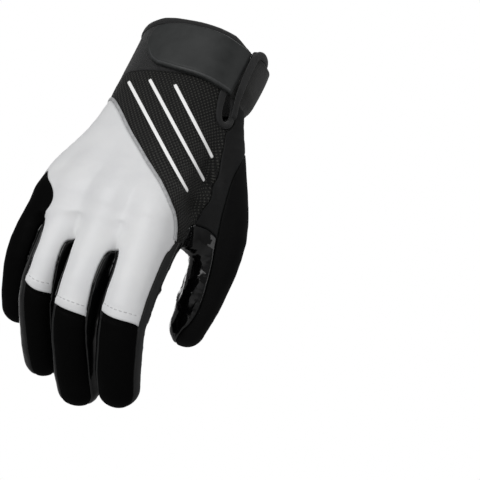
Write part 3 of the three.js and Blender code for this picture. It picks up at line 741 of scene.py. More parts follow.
# ------------------------------------------------------------------ regions, all positive inside
def finger_side(rows, level, back):
    """The outline, in the plane of one finger, of all on the back's side of its seam."""
    use = spline(rows[1:], 5)
    outer = back and rows is FINGERS["little"]
    line = [(-13.2, -20), (-15.4, -84)] if outer else [(-3, -20), (rows[1][1] * 0.35 - 3, -84)]
    for i, row in enumerate(use):
        a, b = use[max(i - 1, 0)], use[min(i + 1, len(use) - 1)]
        t = unit(np.array([b[1] - a[1], b[2] - a[2]]))
        lv = level + (0.55 - 0.55 * min(1, i / 9)) if outer else level
        line.append((row[1] + t[1] * row[3] * lv, row[2] - t[0] * row[3] * lv))
        if i == len(use) - 1:
            for k, f in ((1.0, 0.6), (3, 0.5)):
                line.append((row[1] + t[0] * row[3] * k + t[1] * row[3] * level * f, row[2] + t[1] * row[3] * k - t[0] * row[3] * level * f))
    end = line[-1]
    if back:
        return line + [(end[0] + 30, -280), (-100, -280), (-100, -20)]
    return line + [(110, end[1] - 3), (110, -120), (110, -20)]


def seam_side(p, level, back):
    xs = [-49, -26, -2, 26]
    vals = [outline_sd(p[:, 1], p[:, 2], finger_side(FINGERS[k], level, back)) for k in ("little", "ring", "middle", "index")]
    x = np.clip(p[:, 0], xs[0], xs[-1])
    i = np.clip(np.searchsorted(xs, x) - 1, 0, 2)
    w = (x - np.take(xs, i)) / (np.take(xs, i + 1) - np.take(xs, i))
    st = np.stack(vals, 1)
    r = np.arange(len(p))
    return st[r, i] * (1 - w) + st[r, i + 1] * w


back_side = lambda p: seam_side(p, SEAM_BACK, True)
palm_side = lambda p: seam_side(p, -SEAM_PALM, False)
xz = lambda p, pts: outline_sd(p[:, 0], p[:, 2], pts)
yz = lambda p, pts: outline_sd(p[:, 1], p[:, 2], pts)
mesh_line = [tuple(r) for r in spline(MESH_SIDE, 4)] + [tuple(r) for r in spline(TONGUE, 4)][1:] + [(-60, -190), (-60, -20)]
piping = spline(PIPING_LINE, 5)
pipe_poly = [tuple(r) for r in piping] + [(90, -152), (90, -20), (-90, -20)]
slots = [[tuple(r) for r in spline(x, 4)] for x in SLOTS]
thumb_line = [tuple(r) for r in spline(THUMB_SEAM, 4)] + [(90, -190), (90, -52)]
back_reach = spline(THUMB_BACK, 4)[::-1]


def pipe_distance(p):
    d = np.full(len(p), 1e9)
    for a, b in zip(piping[:-1], piping[1:]):
        e = b - a
        w = np.stack([p[:, 0] + (p[:, 1] + 14) / 2 - a[0], p[:, 2] - a[1]], 1)
        t = np.clip(w @ e / (e @ e), 0, 1)
        d = np.minimum(d, np.hypot(*(w - t[:, None] * e).T))
    return d


def r_cuff(p):
    return yz(p, [(-80, -43), (-2, -43), (12, -38), (80, -38), (80, 20), (-80, 20)])


def beyond_reach(p):
    n = np.array([math.cos(math.radians(25)), math.sin(math.radians(25))])
    return p[:, :2] @ n - np.interp(p[:, 2], back_reach[:, 0], back_reach[:, 1])


def side_outline(p):
    return yz(p, [tuple(r) for r in spline(MESH_SIDE, 4)] + [tuple(r) for r in spline(SIDE_LOW, 4)] + [(18, -30)])


def r_thumb_back(p):
    return np.minimum(np.minimum(beyond_reach(p), -57 - p[:, 2]), p[:, 0] - 28)


def r_thumb_side(p):
    return np.minimum(np.minimum(side_outline(p), p[:, 0] - 24), np.maximum(p[:, 2] + 112, p[:, 0] - 40.5))


def r_thumb_palm(p):
    s = np.minimum(xz(p, thumb_line), p[:, 1] + 7)
    s = np.minimum(s, -yz(p, mesh_line))
    return np.minimum(s, -yz(p, [(-60, -136), (-8, -136), (2, -141), (10, -150), (15, -176), (20, -200), (-60, -200)]))


def r_between(p):
    return np.minimum(np.minimum(-back_side(p), -palm_side(p)), xz(p, [(-95, -100), (95, -118), (95, -280), (-95, -280)]))


def r_strip(pts, slot=None):
    if slot is None:
        return lambda p: np.minimum(r_between(p), xz(p, pts))
    return lambda p: np.maximum(np.minimum(r_between(p), xz(p, pts)), np.minimum(back_side(p) + 1, np.minimum(xz(p, slots[slot]), -palm_side(p))))


def r_little(p):
    edge = [(-95, -108), (-95, -280), (-53, -280), (-49, -154), (-42, -112)]
    own = np.maximum(back_side(p), np.minimum(r_between(p), xz(p, edge)))
    return np.minimum(own, xz(p, [tuple(r) for r in spline(LITTLE_LINE, 4)] + [(-40, -240), (-90, -240), (-90, -118)]))


def rim_z(p):
    """Height of the cuff's rim at each point round the wrist."""
    x, y = np.array(RIM_X, float), np.array(RIM_Y, float)
    return np.maximum(np.interp(p[:, 0], x[:, 0], x[:, 1]), np.interp(p[:, 1], y[:, 0], y[:, 1]))


def hem_z(x):
    """Height of the finger hems, each one gentle curve."""
    out = np.full(np.shape(x), -400.0)
    for k, lo, hi in (("ring", -60, -16.5), ("middle", -16.5, 12.3), ("index", 12.3, 90)):
        c, z, r = HEMS[k]
        out = np.where((x > lo) & (x <= hi), z + r * np.minimum((x - c) ** 2, 130), out)
    return out


def r_tip(x1, x2):
    return lambda p: np.minimum(np.minimum(back_side(p), hem_z(p[:, 0]) - p[:, 2]), np.minimum(p[:, 0] - x1, x2 - p[:, 0]))


def front(p):
    return np.maximum(back_side(p), np.minimum(yz(p, mesh_line), p[:, 0] - 12))


def r_piping(p):
    return np.minimum(np.minimum(0.95 - pipe_distance(p), front(p)), np.minimum(yz(p, mesh_line), p[:, 2] + 142.5))


def r_mesh(p):
    return np.minimum(front(p), outline_sd(p[:, 0] + (p[:, 1] + 14) / 2, p[:, 2], pipe_poly))


def slit_zone(p, grow=0.0):
    return np.minimum(yz(p, [tuple(r) for r in SLIT]) + grow, p[:, 0] - 18)


REGIONS = [
    ("cuff", r_cuff), ("thumb_back", r_thumb_back), ("thumb_side", r_thumb_side), ("thumb_palm", r_thumb_palm),
    ("fourchette_1", r_strip([(25.5, -142), (26, -240), (-4.3, -240), (-2.8, -186), (0.6, -142)], 0)),
    ("fourchette_2", r_strip([(0.3, -137), (-3, -186), (-4.6, -240), (-30.5, -240), (-28.2, -177), (-23.5, -137)], 1)),
    ("fourchette_3", r_strip([(-23.8, -127), (-28.5, -177), (-31, -240), (-53, -240), (-49, -154), (-43, -127)], 2)),
    ("index_side", lambda p: np.minimum(r_strip([(27, -133), (80, -124), (80, -240), (26.3, -240)])(p), -yz(p, mesh_line))),
    ("little_panel", r_little), ("finger_back_ring", r_tip(-41, -16.5)), ("finger_back_middle", r_tip(-16.5, 12.3)),
    ("finger_back_index", r_tip(12.3, 60)), ("back_piping", r_piping), ("mesh_panel", r_mesh), ("back_panel", front), ("palm_panel", None),
]
# the thumb's side and the index's side get the lighter suede copies: painted light on the thumb's side, a painted
# highlight on the index's side
LOOK = {"cuff": ("knit", "knit"), "thumb_back": ("thumb_black", "matte"), "thumb_side": ("soft_grey_painted_light", "matte"), "thumb_palm": ("patent", "patent"),
        "fourchette_1": ("patent", "patent"), "fourchette_2": ("patent", "patent"), "fourchette_3": ("patent", "patent"), "index_side": ("side_grey_painted_highlight", "matte"),
        "little_panel": ("matte_black", "matte"), "finger_back_ring": ("matte_black", "matte"), "finger_back_middle": ("matte_black", "matte"),
        "finger_back_index": ("matte_black", "matte"), "back_piping": ("piping_grey", "piping"), "mesh_panel": ("mesh", "mesh"),
        "back_panel": ("white_leather", "white"), "palm_panel": ("patent", "patent")}


def round_uv(p, cut=-180.0):
    """Length round the palm or cuff from an angle in degrees, and height, for weaves."""
    xc, yc, a, b = palm_at(p[:, 2])
    cut = math.radians(cut)
    t = cut + np.mod(np.arctan2((p[:, 1] - yc) / b, (p[:, 0] - xc) / a) - cut, 2 * math.pi)
    tt = np.linspace(cut, cut + 2 * math.pi, 721)
    c, s = np.cos(tt), np.sin(tt)
    k = (np.abs(c) ** SQUARE + np.abs(s) ** SQUARE) ** (-1 / SQUARE)
    x, y = 36 * c * k, 22 * s * k
    arc = np.concatenate([[0], np.cumsum(np.hypot(np.diff(x), np.diff(y)))])
    return np.interp(t, tt, arc), -p[:, 2]


# ------------------------------------------------------------------ the panels
SKINS = {}


def hem_depth(p):
    """How far beyond a hem a point of the back lies (mm, positive on the fingertip's side)."""
    return hem_z(p[:, 0]) - p[:, 2]


def detail(name, p, n, edge):
    """Height of each point of a panel over the plain hand, mm."""
    roll = np.clip(1 - edge / 1.5, 0, 1)
    h = -0.95 * (1 - np.sqrt(np.maximum(1 - roll ** 2, 0)))
    if name == "back_panel":
        hd = np.abs(hem_depth(p))
        hem = (np.abs(hem_depth(p)) < 2.6) & (p[:, 2] < -150) & (back_side(p) > 1.2)
        lift = 0.35 * step(-hd, -4.6, -3.9)
        h = np.where(hem | (p[:, 2] > -150), -0.25 * np.clip(1 - edge / 0.7, 0, 1) ** 2, h)
        h = h + lift * (p[:, 2] < -150) - 0.18 * np.exp(-((hd - 3.9) / 0.35) ** 2) * (p[:, 2] < -150)
        h += 0.30 * noise(p * [1, 1, 0.7], 19, 3) * step(edge, 0, 6)
        h += 0.05 * noise(p, 6, 5) * step(edge, 0, 4)
        # soft dents between the knuckles
        for x, z in ((13, -141), (-12, -138), (-33, -128)):
            h -= 0.4 * np.exp(-((p[:, 0] - x) / 4.2) ** 2 - ((p[:, 2] - z) / 13) ** 2)
    elif name == "mesh_panel":
        h += 0.35 * noise(p, 13, 7) * step(edge, 0, 5)
    elif name.startswith("finger_back"):
        hd = hem_depth(p)
        h = np.where(hd < 2.2, -0.55, h)
        h = h - 0.35 * step(-hd, -3.5, -1.0)
        h += 0.16 * noise(p, 9, 11)
    elif name == "little_panel":
        h += 0.25 * noise(p, 10, 13)
    elif name in ("palm_panel", "thumb_palm"):
        q = p + 5 * np.stack([noise(p, 16, 21), noise(p, 16, 22), noise(p, 16, 23)], 1)
        ridge = 1 - np.abs(noise(q * [1, 1, 0.75], 13, 25))
        ridge2 = 1 - np.abs(noise(q, 6.5, 27))
        inside = step(edge, 0.3, 5)
        h += inside * (1.25 * ridge ** 5 - 0.5 + 0.45 * ridge2 ** 5)
    elif name.startswith("fourchette"):
        h += 0.14 * noise(p, 5, 31) * step(edge, 0, 2)
    elif name == "index_side":
        h += 0.12 * noise(p, 6, 33)
    elif name in ("thumb_back", "thumb_side"):
        h += 0.3 * noise(p, 12, 35) * step(edge, 0, 4)
    elif name == "back_piping":
        h = 0.6 * np.sqrt(np.clip(1 - (np.clip(0.95 - edge, 0, 1) / 0.95) ** 2, 0, 1)) - 0.1
    elif name == "cuff":
        h = -0.3 * np.clip(1 - edge / 1.0, 0, 1) ** 2 + 0.2 * noise(p, 12, 41)
    return h


def build_hand():
    v, q = surface(hand, (-67, -33, -231), (62, 60, 6.5), GRID)
    v = project(hand, v, 2)
    rim = v[:, 2] > 5
    for _ in range(2):
        v = relax(v, q, rim, 2)
        v = np.where(rim[:, None], v, project(hand, v, 1))
    t = np.vstack([q[:, [0, 1, 2]], q[:, [0, 2, 3]]])
    n = normals(v, t)
    mid = v[:, 2] < 0
    if ((v[mid] - [-3, -3, 0]) * n[mid] * [1, 1, 0]).sum() < 0:
        t = t[:, ::-1]
    rest = Skin(v, t)
    rest, _ = clip(rest, rim_z(rest.v) - RIM_TAPE - rest.v[:, 2])
    _, rest = clip(rest, slit_zone(rest.v, SLIT_TAPE))
    for name, region in REGIONS:
        if region is None:
            piece = rest
        else:
            piece, rest = clip(rest, region(rest.v))
        piece = piece.main(0.02 if name == "palm_panel" else 0.1)
        make_panel(name, piece)


def make_panel(name, skin, fn=hand):
    for _ in range(2):
        d = near(skin.v, edge_points(skin))
        skin = refine(skin, d, 3.2 if _ == 0 else 1.8, FINE, fn)
    d = near(skin.v, edge_points(skin))
    g = unit(gradient(fn, skin.v))
    h = detail(name, skin.v, g, d)
    v = skin.v + g * h[:, None]
    vv, tt, sharp = wall(v, skin.t, g, THICK)
    k = len(v)
    u, w = round_uv(skin.v, -22.4 if name == "cuff" else -180)
    attrs = {"edge": np.concatenate([d, np.full(k, 5.0)]), "u": np.tile(u, 2), "v": np.tile(w, 2)}
    SKINS[name] = (v, g)
    mat, slot = LOOK[name]
    obj = add_object(name + "_cloth", vv, tt, mat, attrs=attrs, sharp=sharp)
    return place(obj, name, slot)


build_hand()

# ------------------------------------------------------------------ cuff and strap
def patch(off, t0, t1, z0, z1, h):
    """Even skin on the cuff, off mm out from it, between two angles (degrees) and heights."""
    zs = np.linspace(z1, z0, int(abs(z1 - z0) / h) + 2)
    ts = np.radians(np.linspace(t0, t1, int(abs(t1 - t0) / 360 * 210 / h) + 2))
    tt, zz = np.meshgrid(ts, zs)
    p = cuff_point(tt.ravel(), zz.ravel(), off)
    m, n = zz.shape
    i = np.arange(m * n).reshape(m, n)
    a, b, c, d = i[:-1, :-1].ravel(), i[:-1, 1:].ravel(), i[1:, 1:].ravel(), i[1:, :-1].ravel()
    return Skin(p, np.vstack([np.stack([a, c, b], 1), np.stack([a, d, c], 1)])[:, ::-1])


def cuff_point(t, z, off):
    xc, yc, a, b = palm_at(z)
    c, s = np.cos(t), np.sin(t)
    k = (np.abs(c) ** SQUARE + np.abs(s) ** SQUARE) ** (-1 / SQUARE)
    o = off(t, z) if callable(off) else off
    return np.stack([xc + (a + o) * c * k, yc + (b + o) * s * k, z], 1)


def outward(p):
    return unit(gradient(palm, p) * [1, 1, 1])


def sleeve(name, skin, height, thick, mat, node, slot, passes=2, width=3.0, extra=None):
    """A cut piece of the cuff's layers: refined beside its edge, raised, and closed."""
    skin = skin.main(0.2)
    for k in range(passes):
        skin = refine(skin, near(skin.v, edge_points(skin)), width if k == 0 else width * 0.6, FINE * 0.9, None)
    d = near(skin.v, edge_points(skin))
    g = outward(skin.v)
    n = normals(skin.v, skin.t)
    flip = (n * g).sum(1).mean() < 0
    t = skin.t[:, ::-1] if flip else skin.t
    v = skin.v + g * height(skin.v, d)[:, None]
    vv, tt, sharp = wall(v, t, g, thick)
    k = len(v)
    u, w = round_uv(skin.v, -30 if name.startswith("strap_band") else -180)
    attrs = {"edge": np.concatenate([d, np.full(k, 5.0)]), "u": np.tile(u, 2), "v": np.tile(w, 2)}
    if extra:
        attrs.update({a: np.concatenate([f(skin.v, d), np.zeros(k)]) for a, f in extra.items()})
    SKINS[name] = (v, g)
    return place(add_object(name, vv, tt, mat, attrs=attrs, sharp=sharp), node, slot)


def tube_along(c, n, w, h, sides=16, power=2.6, taper=3):
    """A flat rounded tape along c, whose outer face looks along n; w and h are half sizes."""
    c, n = np.asarray(c, float), np.asarray(n, float)
    t = unit(np.gradient(c, axis=0))
    b = unit(np.cross(t, n))
    n = unit(np.cross(b, t))
    w = np.broadcast_to(w, len(c)).astype(float).copy()
    h = np.broadcast_to(h, len(c)).astype(float).copy()
    for i in range(taper):
        f = math.sqrt(1 - (1 - (i + 0.35) / taper) ** 2)
        for k in (i, -1 - i):
            w[k] *= 0.6 + 0.4 * f
            h[k] *= f
    a = np.linspace(0, 2 * np.pi, sides, endpoint=False)
    ca = np.sign(np.cos(a)) * np.abs(np.cos(a)) ** (2 / power)
    sa = np.sign(np.sin(a)) * np.abs(np.sin(a)) ** (2 / power)
    v = (c[:, None] + b[:, None] * (w[:, None] * ca)[..., None] + n[:, None] * (h[:, None] * sa)[..., None]).reshape(-1, 3)
    m = len(c)
    i = np.arange(m - 1)[:, None] * sides + np.arange(sides)
    j = np.arange(m - 1)[:, None] * sides + (np.arange(sides) + 1) % sides
    q = np.stack([i, j, j + sides, i + sides], -1).reshape(-1, 4)
    t3 = np.vstack([q[:, [0, 1, 2]], q[:, [0, 2, 3]]])
    k = len(v)
    v = np.vstack([v, c[:1], c[-1:]])
    s = np.arange(sides)
    t3 = np.vstack([t3, np.stack([np.full(sides, k), (s + 1) % sides, s], 1),
                    np.stack([np.full(sides, k + 1), s + (m - 1) * sides, (s + 1) % sides + (m - 1) * sides], 1)])
    ln = np.concatenate([[0], np.cumsum(np.linalg.norm(np.diff(c, axis=0), axis=1))])
    u = np.concatenate([np.repeat(ln, sides), [ln[0], ln[-1]]])
    vv = np.concatenate([np.tile(np.cumsum(np.full(sides, 2 * (w.mean() + h.mean()) / sides)), m), [0, 0]])
    return v, outward_tris(v, t3), u, vv


def outward_tris(v, t):
    """Turns a closed mesh's faces to look outwards."""
    a, b, c = v[t[:, 0]], v[t[:, 1]], v[t[:, 2]]
    return t if np.einsum("ij,ij->i", a, np.cross(b, c)).sum() > 0 else t[:, ::-1]


def resample(pts, gap):
    pts = np.asarray(pts, float)
    s = np.concatenate([[0], np.cumsum(np.linalg.norm(np.diff(pts, axis=0), axis=1))])
    n = max(int(round(s[-1] / gap)), 2)
    q = np.linspace(0, s[-1], n + 1)
    return np.stack([np.interp(q, s, pts[:, i]) for i in range(pts.shape[1])], 1)


def drop(p, way, fn, times=70):
    """Moves points along way until they reach fn = 0."""
    p = np.array(p, float)
    way = np.array(way, float)
    for _ in range(times):
        p = p + way * np.clip(fn(p), -3, 8)[:, None] * 0.85
    return p


flap = lambda t: step(np.degrees(t), -22, -6) * (1 - step(np.degrees(t), 150, 178))
radial = lambda p: step(p[:, 0], 20, 36) * step(p[:, 1], -14, 2) * (1 - step(p[:, 1], 14, 25))


def rim_out(t):
    """How far the rim's tape stands out: flush with the elastic band on the palm's side."""
    return 0.7 + 2.1 * flap(t)


def cuff_binding():
    ts = np.radians(np.linspace(-360, 0, 520))
    p = cuff_point(ts, np.zeros(len(ts)), 0.0)
    ok = ~((p[:, 0] > 0) & (p[:, 1] > -11.9) & (p[:, 1] < -8.5))
    gap = np.where(~ok)[0]
    order = np.r_[np.arange(gap[-1] + 1, len(ts)), np.arange(1, gap[0])] if gap[0] > 0 else np.arange(gap[-1] + 1, len(ts))
    ts = ts[order]
    prof = []
    for k in range(22):
        prof.append(k)
    rows = []
    z0 = rim_z(cuff_point(ts, np.zeros(len(ts)), 0.0))
    out = rim_out(ts)
    e = np.minimum(np.arange(len(ts)), np.arange(len(ts))[::-1]) / 6
    e = np.sqrt(np.clip(1 - (1 - np.clip(e, 0, 1)) ** 2, 0, 1))
    mid = (out - 2.3) / 2
    puff = 0.12 * noise(np.stack([p[order][:, 0], p[order][:, 1], z0], 1), 4.5, 51)
    shape = [(-1, -RIM_TAPE), (-1, -3.4), (-1, -2.2), (-1, -1.2), (-0.9, -0.6), (-0.62, -0.15), (-0.25, 0.05), (0.25, 0.05), (0.62, -0.15), (0.88, -0.6),
             (0.98, -1.2), (1.02, -2.0), (1.03, -2.8), (0.96, -3.3), (0.9, -3.55), (0.97, -3.85), (0.95, -4.3), (0.8, -4.62), (0.4, -RIM_TAPE)]
    for s, dz in shape:
        off = mid + (out + 2.3) / 2 * s * (0.4 + 0.6 * e) + (puff if s > 0 else 0)
        z = z0 + dz
        rows.append(cuff_point(ts, z, lambda t, zz, o=off: o))
    v = np.stack(rows, 1)
    m, n = v.shape[:2]
    i = np.arange(m - 1)[:, None] * n + np.arange(n)
    j = np.arange(m - 1)[:, None] * n + (np.arange(n) + 1) % n
    q = np.stack([i, j, j + n, i + n], -1).reshape(-1, 4)
    t = np.vstack([q[:, [0, 1, 2]], q[:, [0, 2, 3]]])
    pts = v.reshape(-1, 3)
    c0, c1 = len(pts), len(pts) + 1
    s = np.arange(n)
    t = np.vstack([t, np.stack([np.full(n, c0), (s + 1) % n, s], 1), np.stack([np.full(n, c1), s + (m - 1) * n, (s + 1) % n + (m - 1) * n], 1)])
    pts = np.vstack([pts, v[0].mean(0)[None], v[-1].mean(0)[None]])
    t = outward_tris(pts - pts.mean(0), t)
    step_u = np.concatenate([[0], np.cumsum(np.linalg.norm(np.diff(v[:, 9], axis=0), axis=1))])
    u = np.concatenate([np.repeat(step_u, n), [0, 0]])
    w = np.concatenate([np.tile(np.array([a[1] for a in shape]), m), [0, 0]])
    place(add_object("cuff_binding_tape", pts, t, "tape", attrs={"u": u, "v": w, "edge": np.full(len(pts), 5.0)}), "cuff_binding", "binding")
    row = v[:, 14]
    SKINS["cuff_binding"] = (row, outward(row))
    return row


def tab_region(p):
    s = outline_sd(p[:, 0], p[:, 2], TAB_SMOOTH)
    return np.minimum(s, TAB_END - p[:, 1])


smooth_end = spline(TAB_OUTLINE[7:] + TAB_OUTLINE[:5], 5)
TAB_SMOOTH = [tuple(r) for r in smooth_end] + [(60, -15.3), (60, -45.8)]


def strap_tab():
    skin = patch(3.0, -150, -10, -48, -9, 0.6)
    skin, _ = clip(skin, tab_region(skin.v))

    def height(p, d):
        h = -1.0 * (1 - np.sqrt(np.clip(1 - (1 - np.clip(d / 0.9, 0, 1)) ** 2, 0, 1)))
        end = TAB_END - p[:, 1]
        low = outline_sd(p[:, 0], p[:, 2], TAB_SMOOTH)
        ridge = np.exp(-((low - 1.35) / 0.32) ** 2) * step(end, 0.5, 2)
        ridge = ridge * step(-p[:, 2], 24, 36)
        h += 0.3 * ridge - 0.1 * np.exp(-((low - 2.1) / 0.35) ** 2) * step(-p[:, 2], 24, 36)
        h -= 0.5 * np.exp(-((end - 0.7) / 0.5) ** 2)
        return h + 0.25 * noise(p, 15, 61) + 0.45

    rim = lambda p, d: np.exp(-((outline_sd(p[:, 0], p[:, 2], TAB_SMOOTH) - 1.35) / 0.3) ** 2) * step(TAB_END - p[:, 1], 0.5, 2) * step(-p[:, 2], 24, 36)
    sleeve("strap_tab_rubber", skin, height, 2.0, "tab_rubber", "strap_tab", "tab", width=3.6, extra={"rim": rim})


def band_region(p):
    low = np.where(p[:, 0] > 0, np.interp(p[:, 1], *np.array(BAND_LOW, float).T), -38.0)
    side = np.where(p[:, 0] > 0, p[:, 1] - TAB_END - 0.4, p[:, 1] - 2)
    return np.minimum(side, np.minimum(rim_z(p) - RIM_TAPE - 0.35 - p[:, 2], p[:, 2] - low))


def strap_band():
    skin = patch(2.9, -40, 190, -47, 0, 0.8)
    skin, _ = clip(skin, band_region(skin.v))

    def height(p, d):
        h = -0.45 * (1 - np.sqrt(np.clip(1 - (1 - np.clip(d / 0.6, 0, 1)) ** 2, 0, 1)))
        h += 1.1 * radial(p) + 0.35 * noise(p * [1, 1, 0.6], 13, 63) * step(d, 0, 4)
        h -= 2.0 * step(-p[:, 2], 33, 46) * step(p[:, 0], 15, 33)
        return h - 0.10 * np.exp(-((d - 2.2) / 0.4) ** 2)

    sleeve("strap_band_elastic", skin, height, 1.8, "elastic", "strap_band", "elastic")
    # tape sewn over the band's edge beside the tab; it runs on into the slit's bound edge
    rows = spline([(9.5, -7.0, 0.9), (6.5, -7.6, 1.5), (3, -8.2, 2.3), (-0.5, -9.0, 3.0), (-4.6, -10.3, 3.5), (-8.2, -12.6, 3.7), (-10.1, -16.5, 3.8), (-10.5, -22, 3.8), (-10.0, -33, 3.7), (-9.2, -40, 3.5), (-7.4, -46, 2.6), (-4.6, -51, 1.3), (-3.4, -55, 0.7)], 8)
    rows = resample(rows, 0.8)
    p = np.stack([np.full(len(rows), 60.0), rows[:, 0], rows[:, 1]], 1)
    lift = rows[:, 2]
    p = drop(p, (-1, 0, 0), lambda q: np.minimum(palm(q), hand(q)) - lift)
    g = unit(gradient(hand, p))
    k = np.linspace(0, 1, len(rows))
    w = 1.95 + 0.5 * np.sin(math.pi * k) * (k < 0.8)
    v, t, u, vv = tube_along(p, g, w, 0.85, 18, 2.6)
    place(add_object("strap_edge_tape", v, t, "tape", attrs={"u": u, "v": vv, "edge": np.full(len(v), 5.0)}), None, "binding")


def slit_binding():
    left = [(-13.8, -13.5), (-13.8, -30), (-13.8, -45), (-12.8, -51.5), (-11.2, -57.5), (-9.2, -61.2), (-6.6, -62.6), (-4.3, -61), (-3.0, -57.5), (-3.4, -51), (-6.3, -45), (-6.6, -30), (-6.6, -14.5)]
    rows = resample(spline(left, 8), 0.7)
    p = np.stack([np.full(len(rows), 60.0), rows[:, 0], rows[:, 1]], 1)
    p = drop(p, (-1, 0, 0), lambda q: hand(q) + 0.55)
    g = unit(gradient(hand, p))
    puff = 1 + 0.05 * noise(p, 4, 71)
    v, t, u, vv = tube_along(p, g, 2.0 * puff, 1.35 * puff, 18, 2.4)
    place(add_object("slit_binding_tape", v, t, "tape", attrs={"u": u, "v": vv, "edge": np.full(len(v), 5.0)}), "slit_binding", "binding")


def wrist_label():
    skin = patch(3.5, 55, 100, -37.2, -6.0, 0.7)
    skin, _ = clip(skin, np.minimum(np.minimum(skin.v[:, 0] + 2.0, 16.5 - skin.v[:, 0]), np.minimum(-6.4 - skin.v[:, 2], skin.v[:, 2] + 36.3)))

    def height(p, d):
        h = -0.35 * (1 - np.clip(d / 0.45, 0, 1)) ** 2 + 0.12 * noise(p, 7, 65)
        for x in (0.1, 14.7):
            h -= 0.22 * np.exp(-((p[:, 0] - x) / 0.5) ** 2)
        return h + 0.25 * np.exp(-((p[:, 0] + 1.1) / 0.4) ** 2)

    sleeve("wrist_label_woven", skin, height, 0.7, "label_weave", "wrist_label", "label", passes=1)


rim_row = cuff_binding()
strap_tab()
strap_band()
slit_binding()
wrist_label()


# ------------------------------------------------------------------ stripes
def stripe_paths():
    """Each bar's middle line on the mesh: straight as seen square on, so it bends round the side."""
    out = []
    for x1, z1, x2, z2 in STRIPES:
        ends = drop(np.array([(x1, -70.0, z1), (x2, -70.0, z2)]), (0, 1, 0), hand, 160)
        a, b = ends
        n = unit(np.cross(b - a, VIEW))
        way = unit(VIEW - n * (VIEW @ n))
        k = np.linspace(0, 1, 80)[:, None]
        p = a * (1 - k) + b * k - way * 60
        out.append(drop(p, way, hand, 120))
    return out


VIEW = np.array([-0.4064, 0.7808, 0.4745])       # square on to the bars


def stripes():
    for i, path in enumerate(stripe_paths()):
        path = resample(path, 0.7)
        g = unit(gradient(hand, path))
        v, t, u, w = tube_along(path + g * 0.45, g, 0.98, 0.42, 14, 3.4, 3)
        obj = add_object("stripe_%d_bar" % (i + 1), v, t, "bar_white", attrs={"u": u, "v": w, "edge": np.full(len(v), 5.0)})
        place(obj, "stripe_%d" % (i + 1), "stripe")


stripes()


# ------------------------------------------------------------------ stitches
def snap(points, name, lift):
    v, g = SKINS[name]
    tree = kdtree.KDTree(len(v))
    for i, q in enumerate(v):
        tree.insert(q, i)
    tree.balance()
    out, nn = [], []
    for p in points:
        found = tree.find_n(p, 3)
        q = np.mean([v[i] for _, i, _ in found], 0)
        n = unit(np.mean([g[i] for _, i, _ in found], 0))
        p = np.asarray(p)
        out.append(p + n * ((q - p) @ n + lift))
        nn.append(n)
    return np.array(out), np.array(nn)


def capsules(c, t, n, length, radius, sides=6):
    """Small rounded stitches at c along t."""
    t = unit(t)
    b = unit(np.cross(t, n))
    n = unit(np.cross(b, t))
    prof = [(-0.5, 0.0, -0.55), (-0.46, 0.55, -0.3), (-0.3, 0.95, 0.0), (0.0, 1.0, 0.12), (0.3, 0.95, 0.0), (0.46, 0.55, -0.3), (0.5, 0.0, -0.55)]
    a = np.linspace(0, 2 * np.pi, sides, endpoint=False)
    rings = []
    for s, r, dn in prof:
        k = max(r, 0.12)
        rings.append(c[:, None] + t[:, None] * (s * length) + n[:, None] * (dn * radius) + b[:, None] * (np.cos(a) * k * radius)[None, :, None] + n[:, None] * (np.sin(a) * k * radius)[None, :, None])
    v = np.concatenate(rings, 1)
    m = len(prof)
    i = (np.arange(m - 1)[:, None] * sides + np.arange(sides)).ravel()
    j = (np.arange(m - 1)[:, None] * sides + (np.arange(sides) + 1) % sides).ravel()
    t3 = np.vstack([np.stack([i, j, j + sides], 1), np.stack([i, j + sides, i + sides], 1)])
    fan = np.array([(0, k + 1, k) for k in range(1, sides - 1)])
    t3 = np.vstack([t3, fan, (fan + (m - 1) * sides)[:, ::-1]])
    first = outward_tris(v[0] - c[0], t3)
    per = m * sides
    tris = (first[None] + np.arange(len(c))[:, None, None] * per).reshape(-1, 3)
    return v.reshape(-1, 3), tris


def stitches(name, paths, material, slot, pitch=2.6, length=1.9, radius=0.27):
    """paths: (points, panel, lift). One joined object of single stitches."""
    vs, ts, k = [], [], 0
    for pts, panel, lift in paths:
        q = resample(pts, pitch)
        c, d = (q[1:] + q[:-1]) / 2, q[1:] - q[:-1]
        if panel is not None:
            c, n = snap(c, panel, lift)
        else:
            n = unit(gradient(hand, c))
            c = c + n * lift
        v, t = capsules(c, d, n, length, radius)
        vs.append(v)
        ts.append(t + k)
        k += len(v)
    return place(add_object(name, np.vstack(vs), np.vstack(ts), material), None, slot)


def hem_row(x1, x2, up):
    xs = np.linspace(x1, x2, 40)
    z = hem_z(xs) + up
    p = drop(np.stack([xs, np.full(40, -60.0), z], 1), (0, 1, 0), hand, 120)
    return p[back_side(p) > 1.0]


def surface_row(rows, way, start, per=8):
    """A line of two columns dropped on the hand: way says along which axis."""
    r = spline(rows, per)
    if way == "y":
        p = np.stack([r[:, 0], np.full(len(r), float(start)), r[:, 1]], 1)
        return drop(p, (0, -np.sign(start), 0), hand, 140)
    p = np.stack([np.full(len(r), float(start)), r[:, 0], r[:, 1]], 1)
    return drop(p, (-np.sign(start), 0, 0), hand, 140)


rows = []
for x1, x2 in ((-30.6, -19.3), (-9.2, 6.8), (18.8, 36.6)):
    r = hem_row(x1, x2, 3.9)
    if len(r) > 3:
        rows.append((r, "back_panel", 0.02))
stitches("hem_stitches", rows, "thread_white", "white")

